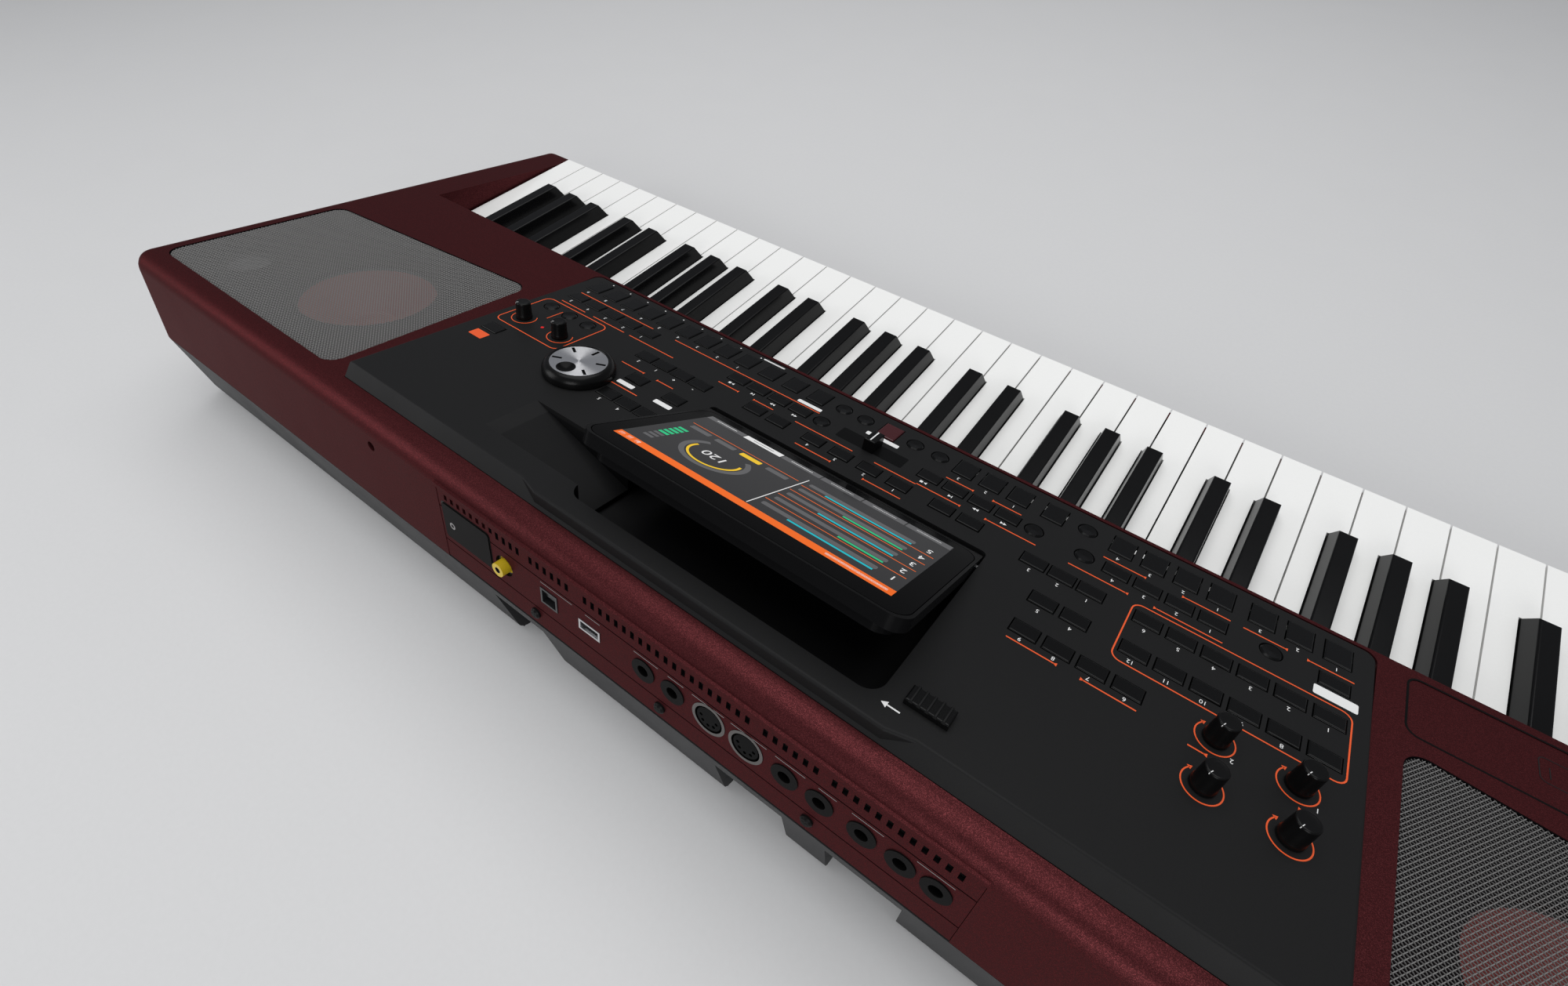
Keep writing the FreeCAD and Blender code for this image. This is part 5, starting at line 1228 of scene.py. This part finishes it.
@dataclass
class SpeakerGrille:
    """Woven wire over one pair of speakers, trimmed to its recess."""

    side: str
    inner: float
    outer: float
    front: float = 53.0
    rear: float = 199.0
    taper: float = 20.0
    corner: float = 10.0
    corner_steps: int = 4
    pitch: float = 1.55
    wire: float = 0.25
    wire_sides: int = 3
    wave: float = 0.25
    middle_out: float = -0.95
    turn: float = 55.0
    spare: int = 5
    merge_share: float = 0.05
    crease: float = 80.0

    def _outline(self) -> list[Point]:
        """Give the outline, anticlockwise and with its corners rounded."""
        corners = [(self.inner, self.front), (self.outer, self.front + self.taper),
                   (self.outer, self.rear), (self.inner, self.rear)]
        if self.outer < self.inner:
            corners.reverse()
        points = []
        for number, place in enumerate(corners):
            here = Vector(place)
            before = (Vector(corners[number - 1]) - here).normalized()
            after = (Vector(corners[(number + 1) % len(corners)]) - here).normalized()
            half = before.angle(after) / 2
            middle = here + (before + after).normalized() * (self.corner / math.sin(half))
            start = here + before * (self.corner / math.tan(half)) - middle
            turn = math.pi - 2 * half
            for step in range(self.corner_steps + 1):
                spun = Matrix.Rotation(turn * step / self.corner_steps, 2) @ start
                points.append(tuple(middle + spun))
        return points

    def _strands(self, name: str, count: int) -> Piece:
        """Weave one set of wires along X.

        Args:
            name: the piece's name.
            count: number of wires, and their length in pitches.

        Returns:
            The wires, each rising and falling between its neighbours.
        """
        pitch, swing = self.pitch * MM, 2 * self.wave * MM
        Bench.clear()
        bpy.ops.mesh.primitive_circle_add(vertices=self.wire_sides, radius=self.wire * MM,
                                          fill_type="NOTHING", location=ORIGIN,
                                          rotation=(0.0, math.pi / 2, 0.0))
        bpy.ops.object.transform_apply(rotation=True)
        piece = Bench.adopt(name, Finish.WIRE)
        bpy.ops.mesh.select_mode(type=Pick.VERTICES.value)
        bpy.ops.mesh.select_all(action="SELECT")
        bpy.ops.transform.translate(value=(0.0, 0.0, -swing / 2))
        for rise in (swing, -swing):
            bpy.ops.mesh.extrude_region_move(TRANSFORM_OT_translate={"value": (pitch, 0.0, rise)})
        bpy.ops.object.mode_set(mode="OBJECT")
        pairs = count // 2 + 1
        Bench.repeat(piece, pairs, (2 * pitch, 0.0, 0.0), use_merge_vertices=True,
                     merge_threshold=self.merge_share * pitch)
        bpy.ops.object.mode_set(mode="EDIT")
        bpy.ops.mesh.select_all(action="SELECT")
        bpy.ops.mesh.duplicate_move(TRANSFORM_OT_translate={"value": (-pitch, pitch, 0.0)})
        bpy.ops.object.mode_set(mode="OBJECT")
        Bench.repeat(piece, pairs, (0.0, 2 * pitch, 0.0))
        return piece

    def build(self) -> None:
        """Weave the wires, trim them and lay them in the recess."""
        width, depth = abs(self.outer - self.inner), self.rear - self.front
        turn = math.radians(self.turn)
        span = max(width * math.cos(turn) + depth * math.sin(turn),
                   width * math.sin(turn) + depth * math.cos(turn))
        count = int(span / self.pitch) // 2 * 2 + self.spare
        side = count * self.pitch * MM
        warp = self._strands("grille_%s_wire" % self.side, count)
        weft = self._strands("grille_weft", count)
        Bench.place(weft, Matrix.Translation((side, 0.0, 0.0)) @ Matrix.Rotation(math.pi / 2, 4, "Z"))
        Bench.join(warp)
        middle = ((self.inner + self.outer) / 2 * MM, (self.front + self.rear) / 2 * MM, 0.0)
        Bench.place(warp, Matrix.Translation(middle) @ Matrix.Rotation(turn, 4, "Z")
                    @ Matrix.Translation((-side / 2, -side / 2, 0.0)))
        bpy.ops.object.mode_set(mode="EDIT")
        outline = self._outline()
        for number, (across, up) in enumerate(outline):
            before = outline[number - 1]
            along = Vector((across - before[0], up - before[1], 0.0)).normalized()
            bpy.ops.mesh.select_all(action="SELECT")
            bpy.ops.mesh.bisect(plane_co=(across * MM, up * MM, 0.0), plane_no=(along.y, -along.x, 0.0),
                                use_fill=True, clear_outer=True)
        Bench.outward()
        Bench.place(warp, SHELL.matrix(out=self.middle_out))
        Bench.fit(warp, "case", "grille_metal", "speaker_grille_" + self.side, crease=self.crease)


@dataclass
class DisplayLock:
    """Grip ribs across the display's lock."""

    across: float = -89.0
    up: float = 178.5
    top: float = 3.5
    ribs: int = 5
    pitch: float = 3.7
    rib: Triple = (1.7, 9.3, 1.5)
    crown: Triple = (0.45, 0.95, 1.0)
    edge: float = 0.2

    def build(self) -> None:
        """Model one rib, repeat it and set the ribs on the slider."""
        piece = Bench.cube("display_lock_ribs", self.rib, Finish.MATT)
        Bench.choose(piece, lambda middle, normal: normal.z > UPRIGHT)
        bpy.ops.transform.resize(value=self.crown)
        bpy.ops.mesh.bevel(offset=self.edge * MM, segments=3, affect="EDGES")
        bpy.ops.object.mode_set(mode="OBJECT")
        Bench.repeat(piece, self.ribs, (self.pitch * MM, 0.0, 0.0))
        start = self.across - (self.ribs - 1) / 2 * self.pitch
        Bench.place(piece, PANEL.matrix(start, self.up, self.top))
        Bench.fit(piece, "display_lock", "knob_plastic")


@dataclass
class PanelPrint:
    """Lines, frames and figures on the control panel, and painted shade at the fader's slot.

    A group line has its two ends, the gap in it and its place up the face. A row of numbers has its
    first place, its pitch, its count, its place up the face and its first number.
    """

    group_lines: Sequence[tuple[float, float, Span | None, float]] = (
        (-71.0, -25.0, (-55.0, -41.0), 32.0), (-181.0, -117.0, (-158.8, -138.2), 31.7),
        (-180.4, -104.0, (-149.0, -134.0), 50.5), (-236.0, -187.0, (-217.0, -206.0), 31.7),
        (-86.0, -15.0, (-58.0, -41.0), 50.0), (-15.0, 55.0, (8.0, 31.6), 69.0),
        (-15.0, 12.0, None, 50.9), (26.7, 67.5, None, 50.9), (84.0, 127.0, (98.0, 112.0), 50.9),
        (62.0, 180.0, None, 32.6), (200.0, 270.0, None, 32.6), (165.0, 204.0, None, 51.2),
        (209.0, 238.0, None, 51.2), (246.0, 269.0, None, 51.2), (140.0, 183.0, (152.0, 165.0), 78.7),
        (149.0, 170.0, None, 100.3), (-157.5, -98.0, (-134.0, -121.0), 119.5),
        (-229.0, -179.1, (-222.5, -185.8), 121.3),
    )
    frames: Sequence[Edges] = ((-237.0, -139.0, 53.4, 97.4), (219.6, 277.5, 54.6, 100.8))
    frame_corner: float = 5.0
    frame_width: float = 0.7
    divider: Edges = (254.8, 255.4, 62.7, 76.5)
    level_light: Triple = (247.2, 87.0, 1.1)
    orange_badge: Edges = (259.5, 271.0, 118.0, 125.5)
    orange_corner: float = 0.6
    # Painted shade: a black patch where the cross fader's slot lies in shade.
    fader_slot_shade: Edges = (-1.5, 43.0, 33.4, 44.4)
    fader_slot_shade_corner: float = 1.0
    ring_radius: float = 8.45
    ring_width: float = 0.6
    ring_opening: float = 90.0
    ring_arrow: float = 1.3
    white_badges: Sequence[Edges] = (
        (9.0, 31.0, 25.8, 29.2), (62.5, 80.0, 28.2, 31.2), (-238.5, -220.0, 45.2, 51.5),
        (156.0, 169.0, 94.0, 97.6), (126.0, 139.0, 94.0, 97.6), (107.4, 124.8, 5.4, 6.8),
    )
    transport_first: Sequence[float] = (-66.0, 71.7)
    transport_pitch: float = 16.0
    transport_up: float = 46.3
    twin_shifts: Span = (-0.9, 0.9)
    start_bar: Edges = (-1.6, -1.1, -1.0, 1.0)
    start_shift: float = 0.3
    play_shift: float = -1.0
    stop_block: Edges = (0.8, 2.6, -0.9, 0.9)
    light_count: int = 9
    light_first: float = 126.7
    light_pitch: float = 17.2
    light_up: float = 6.6
    light_radius: float = 0.55
    lock_shaft: Edges = (-80.5, -74.5, 187.7, 188.4)
    lock_arrow: Triple = (-73.6, 188.05, 1.9)
    number_rows: Sequence[tuple[float, float, int, float, int]] = (
        (-174.2, 16.9, 4, 28.0, 1), (-174.0, 16.0, 4, 46.6, 1), (-228.2, 17.0, 3, 28.0, 1),
        (-64.8, 17.0, 3, 28.0, 1), (-8.4, 19.1, 4, 65.2, 1), (129.7, 17.2, 9, 28.2, 1),
        (197.5, 16.8, 5, 46.8, 1), (-228.0, 16.0, 6, 70.2, 1), (-228.0, 16.0, 6, 94.0, 7),
        (-120.0, 15.0, 3, 70.4, 1), (-119.7, 16.0, 2, 94.4, 4), (-151.6, 16.0, 4, 117.0, 6),
        (161.5, 15.0, 2, 70.6, 1), (131.5, 15.0, 3, 118.2, 3), (-227.9, 32.1, 2, 116.9, 1),
    )
    signs: Sequence[Numeral] = (Numeral("-", 131.5, 70.6, 4.4), Numeral("+", 146.5, 70.6, 4.4))

    def _transport(self, ink: Print, first: float) -> None:
        """Print one player's symbols: back, forward, to the start and play."""
        up, white, size = self.transport_up, Finish.WHITE, Print.SMALL_ARROW
        back, forward, start, play = (first + step * self.transport_pitch for step in range(4))
        for place, way in ((back, Arrow.LEFT), (forward, Arrow.RIGHT)):
            for shift in self.twin_shifts:
                ink.arrow(place + shift, up, size, way, white)
        ink.bar(*moved(self.start_bar, start, up), white)
        ink.arrow(start + self.start_shift, up, size, Arrow.LEFT, white)
        ink.arrow(play + self.play_shift, up, size, Arrow.RIGHT, white)
        ink.bar(*moved(self.stop_block, play, up), white)

    def build(self) -> None:
        """Print the panel."""
        orange, white = Finish.ORANGE, Finish.WHITE
        ink = Print("panel_print", orange, white, Finish.BLACK, Finish.RED)
        for left, right, gap, up in self.group_lines:
            ink.split_line(left, right, gap, up, orange)
        for edges in self.frames:
            ink.badge(*edges, orange, self.frame_corner, self.frame_width)
        ink.bar(*self.divider, orange)
        ink.dot(*self.level_light, Finish.RED)
        ink.badge(*self.orange_badge, orange, self.orange_corner)
        for across, up, *_ in KNOBS.values():
            ink.ring(across, up, self.ring_radius, orange, self.ring_width, self.ring_opening)
            end = (self.ring_radius - self.ring_width / 2) * math.sqrt(0.5)
            ink.arrow(across + end, up - end, self.ring_arrow, Arrow.INWARD, orange)
        for edges in self.white_badges:
            ink.badge(*edges, white)
        # Painted shade over the fader's slot.
        ink.badge(*self.fader_slot_shade, Finish.BLACK, self.fader_slot_shade_corner)
        for first in self.transport_first:
            self._transport(ink, first)
        for step in range(self.light_count):
            ink.dot(self.light_first + step * self.light_pitch, self.light_up, self.light_radius, white)
        ink.bar(*self.lock_shaft, white)
        ink.arrow(*self.lock_arrow, Arrow.RIGHT, white)
        for first, pitch, count, up, start in self.number_rows:
            ink.numbers(first, pitch, count, up, white, start)
        for sign in self.signs:
            ink.numeral(sign, white)
        ink.lay(PANEL, 0.0, "case", "panel_plastic")


@dataclass
class ScreenPicture:
    """What the display shows: a plain mixer page of bars, lines and blocks.

    A ring of the meter has its colour, its radius, its width and its opening in degrees.
    """

    left: float = -55.5
    right: float = 100.8
    front: float = 9.2
    rear: float = 91.2
    header: float = 6.0
    title: Edges = (3.0, 34.0, -3.9, -2.1)
    square: float = 3.0
    square_pitch: float = 5.0
    squares: int = 3
    row_margins: Span = (14.0, 10.0)
    row_start: float = 14.0
    row_reach: float = 62.0
    row_half: float = 1.9
    row_corner: float = 1.2
    number_place: float = 6.0
    number_height: float = 6.5
    rows: int = 5
    levels: Sequence[float] = (0.82, 0.55, 0.68, 0.40, 0.74)
    level_inset: float = 1.0
    level_edges: Span = (2.4, 3.9)
    rule: Triple = (26.0, 97.0, 32.0)
    rule_width: float = 0.45
    rule_margin: float = 2.0
    divider: Edges = (23.6, 24.1, 24.0, 84.0)
    meter: Point = (62.0, 58.0)
    meter_rings: Sequence[tuple[Finish, float, float, float]] = (
        (Finish.LIT_PALE, 19.0, 3.0, 90.0), (Finish.LIT_YELLOW, 15.0, 1.4, 150.0))
    figure: str = "120"
    figure_height: float = 10.0
    blocks: int = 4
    lit_block: int = 1
    block: Edges = (30.0, 43.0, 35.0, 39.5)
    block_pitch: float = 17.0
    steps: int = 8
    lit_steps: int = 5
    step: Edges = (89.0, 95.0, 46.0, 48.4)
    step_pitch: float = 4.0
    tabs: int = 6
    open_tab: int = 4
    tab_height: float = 5.5
    tab_gap: float = 0.4
    tab_mark_inset: float = 6.0
    tab_mark_edges: Span = (2.2, 3.2)

    def build(self) -> None:
        """Draw the page on the glass."""
        back = Print("screen_ground", Finish.LIT_BACK)
        back.bar(self.left, self.right, self.front, self.rear, Finish.LIT_BACK)
        back.lay(SCREEN, GLASS_OUT, "display", "screen_glass")
        ink = Print("screen_picture", Finish.LIT_PALE, Finish.LIT_ORANGE, Finish.LIT_WHITE,
                    Finish.LIT_YELLOW, Finish.LIT_GREEN, Finish.LIT_CYAN, Finish.LIT_BACK)
        self._header(ink)
        self._channels(ink)
        self._meter(ink)
        self._tabs(ink)
        ink.lay(SCREEN, GLASS_OUT + PRINT_THICKNESS, "display", "screen_glass")

    def _header(self, ink: Print) -> None:
        """Draw the bar along the rear edge, with its squares."""
        low = self.rear - self.header
        ink.bar(self.left, self.right, low, self.rear, Finish.LIT_ORANGE)
        inset = (self.header - self.square) / 2
        for step in range(self.squares):
            end = self.right - inset - step * self.square_pitch
            ink.bar(end - self.square, end, low + inset, self.rear - inset, Finish.LIT_WHITE)
        ink.bar(*moved(self.title, self.left, self.rear), Finish.LIT_WHITE)

    def _channels(self, ink: Print) -> None:
        """Draw the rows of level bars on the left."""
        low, high = self.front + self.row_margins[0], self.rear - self.row_margins[1]
        step = (high - low) / self.rows
        start, reach = self.left + self.row_start, self.row_reach
        lower, upper = self.level_edges
        for row in range(self.rows):
            up = low + (row + 0.5) * step
            number = Numeral(str(self.rows - row), self.left + self.number_place, up, self.number_height)
            ink.numeral(number, Finish.LIT_WHITE)
            ink.badge(start, start + reach, up - self.row_half, up + self.row_half, Finish.LIT_PALE,
                      self.row_corner)
            colour = Finish.LIT_GREEN if row % 2 else Finish.LIT_CYAN
            ink.bar(start + self.level_inset, start + reach * self.levels[row], up + lower, up + upper,
                    colour)
            if row:
                ink.line(self.left + self.rule_margin, start + reach + self.rule_margin, up - step / 2,
                         Finish.LIT_ORANGE, self.rule_width)

    def _meter(self, ink: Print) -> None:
        """Draw the round meter and its blocks on the right."""
        across, up = self.meter
        ink.line(*self.rule, Finish.LIT_ORANGE, self.rule_width)
        ink.bar(*self.divider, Finish.LIT_WHITE)
        for colour, radius, width, opening in self.meter_rings:
            ink.ring(across, up, radius, colour, width, opening)
        ink.numeral(Numeral(self.figure, across, up, self.figure_height), Finish.LIT_WHITE)
        for number in range(self.blocks):
            ink.badge(*moved(self.block, number * self.block_pitch),
                      Finish.LIT_YELLOW if number == self.lit_block else Finish.LIT_PALE)
        for number in range(self.steps):
            ink.bar(*moved(self.step, 0.0, number * self.step_pitch),
                    Finish.LIT_GREEN if number < self.lit_steps else Finish.LIT_PALE)

    def _tabs(self, ink: Print) -> None:
        """Draw the strip of tabs along the front edge."""
        width = (self.right - self.left) / self.tabs
        gap, inset = self.tab_gap, self.tab_mark_inset
        lower, upper = self.tab_mark_edges
        for step in range(self.tabs):
            start = self.left + step * width
            lit = step == self.open_tab
            ink.bar(start + gap, start + width - gap, self.front, self.front + self.tab_height,
                    Finish.LIT_WHITE if lit else Finish.LIT_PALE)
            ink.bar(start + inset, start + width - inset, self.front + lower, self.front + upper,
                    Finish.LIT_BACK if lit else Finish.LIT_WHITE)


@dataclass
class RearPrint:
    """Thin lines over the sockets, marks on the hatch, and painted shade in the screws' cross recesses."""

    lines: Sequence[Span] = ((22.6, 37.8), (7.0, 16.5), (-16.4, 2.0), (-39.8, -20.2), (-60.0, -44.4),
                              (-75.6, -66.6), (-98.0, -83.0), (-129.6, -113.0), (60.0, 70.0), (79.0, 101.5))
    line_up: float = 36.2
    line_width: float = 0.35
    hatch: Edges = (140.2, 178.0, 18.3, 42.3)
    seam_reach: float = 0.9
    seam_corner: float = 2.6
    seam_width: float = 0.85
    hatch_out: float = 0.6
    hatch_screw: Point = (171.0, 29.0)
    ring_radius: float = 2.2
    ring_width: float = 1.1
    screws: Sequence[float] = (107.2, 20.1, -66.0)
    screw_up: float = 8.6
    screw_out: float = 2.0
    cross_reach: float = 1.7
    cross_width: float = 0.7

    def build(self) -> None:
        """Print the rear plate and the hatch, and paint shade into the screws' cross recesses."""
        grey, black = Finish.GREY, Finish.BLACK
        ink = Print("rear_print", grey, black)
        for left, right in self.lines:
            ink.line(-left, -right, self.line_up, grey, self.line_width)
        left, right, low, high = self.hatch
        reach = self.seam_reach
        ink.badge(-right - reach, -left + reach, low - reach, high + reach, black, self.seam_corner,
                  self.seam_width)
        ink.lay(REAR, PLATE_OUT, "case", "shell_paint")
        marks = Print("hatch_marks", grey)
        across, up = self.hatch_screw
        marks.ring(-across, up, self.ring_radius, grey, self.ring_width)
        marks.lay(REAR, PLATE_OUT + self.hatch_out, "case", "socket_plastic")
        # Painted shade: black crosses stand in for the screws' cross recesses.
        cross = Print("screw_cross_shade", black)
        reach, half, up = self.cross_reach, self.cross_width / 2, self.screw_up
        for place in self.screws:
            cross.bar(-place - reach, -place + reach, up - half, up + half, black)
            cross.bar(-place - half, -place + half, up - reach, up + reach, black)
        cross.lay(REAR, PLATE_OUT + self.screw_out, "case", "steel")


@dataclass
class VentShadeSheet:
    """A black sheet behind the vents of the rear plate, put there as painted shade."""

    left: float = -132.0
    right: float = 177.0
    low: float = 42.5
    high: float = 50.0
    face: float = -2.4
    thickness: float = 0.3

    def build(self) -> None:
        """Make the shade sheet and lay it behind the plate."""
        size = (self.right - self.left, self.high - self.low, self.thickness)
        # Painted shade: the sheet makes the vents read black.
        piece = Bench.cube("vent_shade_sheet", size, Finish.TRAY)
        bpy.ops.mesh.subdivide(number_cuts=4)
        bpy.ops.object.mode_set(mode="OBJECT")
        Bench.place(piece, REAR.matrix((self.left + self.right) / 2, (self.low + self.high) / 2, self.face))
        Bench.fit(piece, "case", "socket_plastic")


@dataclass
class StripMarks:
    """Painted shade in the fine grooves at the middle of the touch strip, and in the gap round it.

    The grooves and the line of shade round the strip have the radius of their corners and the width of their
    line.
    """

    middle: float = -318.5
    groove: Edges = (-10.0, 10.0, 15.4, 30.6)
    groove_line: Span = (3.0, 0.5)
    tick: Edges = (5.6, 6.1, 20.6, 27.3)
    seam: Edges = (-441.0, -257.5, 5.0, 44.0)
    seam_line: Span = (6.0, 1.0)

    def build(self) -> None:
        """Draw the painted shade of the grooves and of the gap round the strip."""
        ink = Print("touch_strip_groove_shade", Finish.GROOVE)
        ink.badge(*moved(self.groove, self.middle), Finish.GROOVE, *self.groove_line)
        ink.bar(*moved(self.tick, self.middle), Finish.GROOVE)
        ink.lay(SHELL, STRIP_OUT, "case", "shell_paint")
        # Painted shade: a black line round the touch strip, where its gap lies in shade.
        rim = Print("strip_gap_shade", Finish.BLACK)
        rim.badge(*self.seam, Finish.BLACK, *self.seam_line)
        rim.lay(SHELL, 0.0, "case", "shell_paint")


@dataclass
class FaderMark:
    """The white line on the cross fader."""

    across: float = 20.5
    up: float = 39.0
    top: float = 8.0
    line: Edges = (-0.4, 0.4, -5.0, 5.0)

    def build(self) -> None:
        """Print the line."""
        ink = Print("fader_line", Finish.WHITE)
        ink.bar(*moved(self.line, self.across, self.up), Finish.WHITE)
        ink.lay(PANEL, self.top, "crossfader_cap", "knob_plastic")


# Studio

@dataclass
class Studio:
    """Pale floor, soft lamps and the camera at the photograph's viewing angle."""

    camera_place: Triple = (-0.1162, 0.2695, 0.4081)
    camera_axes: tuple[Triple, ...] = (
        (-0.8028, -0.5962, -0.0028), (0.4580, -0.6197, 0.6374), (-0.3818, 0.5104, 0.7706))
    lens: float = 17.08
    sensor: float = 36.0
    near_limit: float = 0.01
    floor_size: float = 12.0
    lamp_target: Triple = (0.05, 0.0, 0.08)
    lamps: Sequence[tuple[str, Triple, float, float]] = (
        ("overhead", (0.1, -0.3, 1.9), 2.2, 34.0),
        ("rear_low", (-0.7, 2.0, 0.8), 1.1, 16.0),
        ("rear_right", (1.6, 1.2, 0.9), 1.0, 9.0),
    )
    sky: Colour = (0.9, 0.93, 1.0)
    sky_strength: float = 0.24

    def _floor(self) -> None:
        """Lay the floor."""
        Bench.clear()
        bpy.ops.mesh.primitive_plane_add(size=self.floor_size, location=ORIGIN)
        floor = Bench.adopt("floor", Finish.FLOOR)
        bpy.ops.mesh.subdivide(number_cuts=3)
        bpy.ops.object.mode_set(mode="OBJECT")

    def _lamps(self) -> None:
        """Hang the lamps, each turned towards the keyboard."""
        for name, place, size, power in self.lamps:
            Bench.clear()
            bpy.ops.object.light_add(type="AREA", location=place)
            lamp = bpy.context.object
            lamp.name = lamp.data.name = "lamp_" + name
            lamp.data.size = size
            lamp.data.energy = power
            way = Vector(self.lamp_target) - Vector(place)
            lamp.rotation_euler = way.to_track_quat("-Z", "Y").to_euler()

    def _sky(self) -> None:
        """Light the studio softly from all round."""
        world = bpy.data.worlds.new("studio")
        world.use_nodes = True
        background = world.node_tree.nodes["Background"]
        background.inputs["Color"].default_value = (*self.sky, 1.0)
        background.inputs["Strength"].default_value = self.sky_strength
        bpy.context.scene.world = world

    def _camera(self) -> None:
        """Set up the camera."""
        Bench.clear()
        bpy.ops.object.camera_add()
        camera = bpy.context.object
        camera.name = camera.data.name = "view"
        turn = Matrix(self.camera_axes).transposed().to_4x4()
        camera.matrix_world = Matrix.Translation(self.camera_place) @ turn
        camera.data.sensor_width = self.sensor
        camera.data.lens = self.lens
        camera.data.clip_start = self.near_limit
        bpy.context.scene.camera = camera

    def build(self) -> None:
        """Set up the studio."""
        self._floor()
        self._lamps()
        self._sky()
        self._camera()
        bpy.context.scene.view_settings.view_transform = "Standard"


def dress_solids() -> None:
    """Give every solid its finish."""
    for name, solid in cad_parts.items():
        solid.data.materials.clear()
        solid.data.materials.append(node_finish(name).material)


def main() -> None:
    """Build every piece, then the studio, and note the sizes."""
    logging.basicConfig(level=logging.INFO, format="%(name)s: %(message)s")
    dress_solids()
    pieces = [
        *(Knob(body, *measures) for body, measures in KNOBS.items()),
        DataDial(), DisplayLock(), FaderMark(), SpeakerGrille("right", 302.0, 501.5),
        SpeakerGrille("left", -258.5, -501.5), PanelPrint(), ScreenPicture(), RearPrint(), VentShadeSheet(),
        StripMarks(), Studio(),
    ]
    for piece in pieces:
        piece.build()
    log.info("built %d sub-assemblies", len(pieces))


if __name__ == "__main__":
    main()
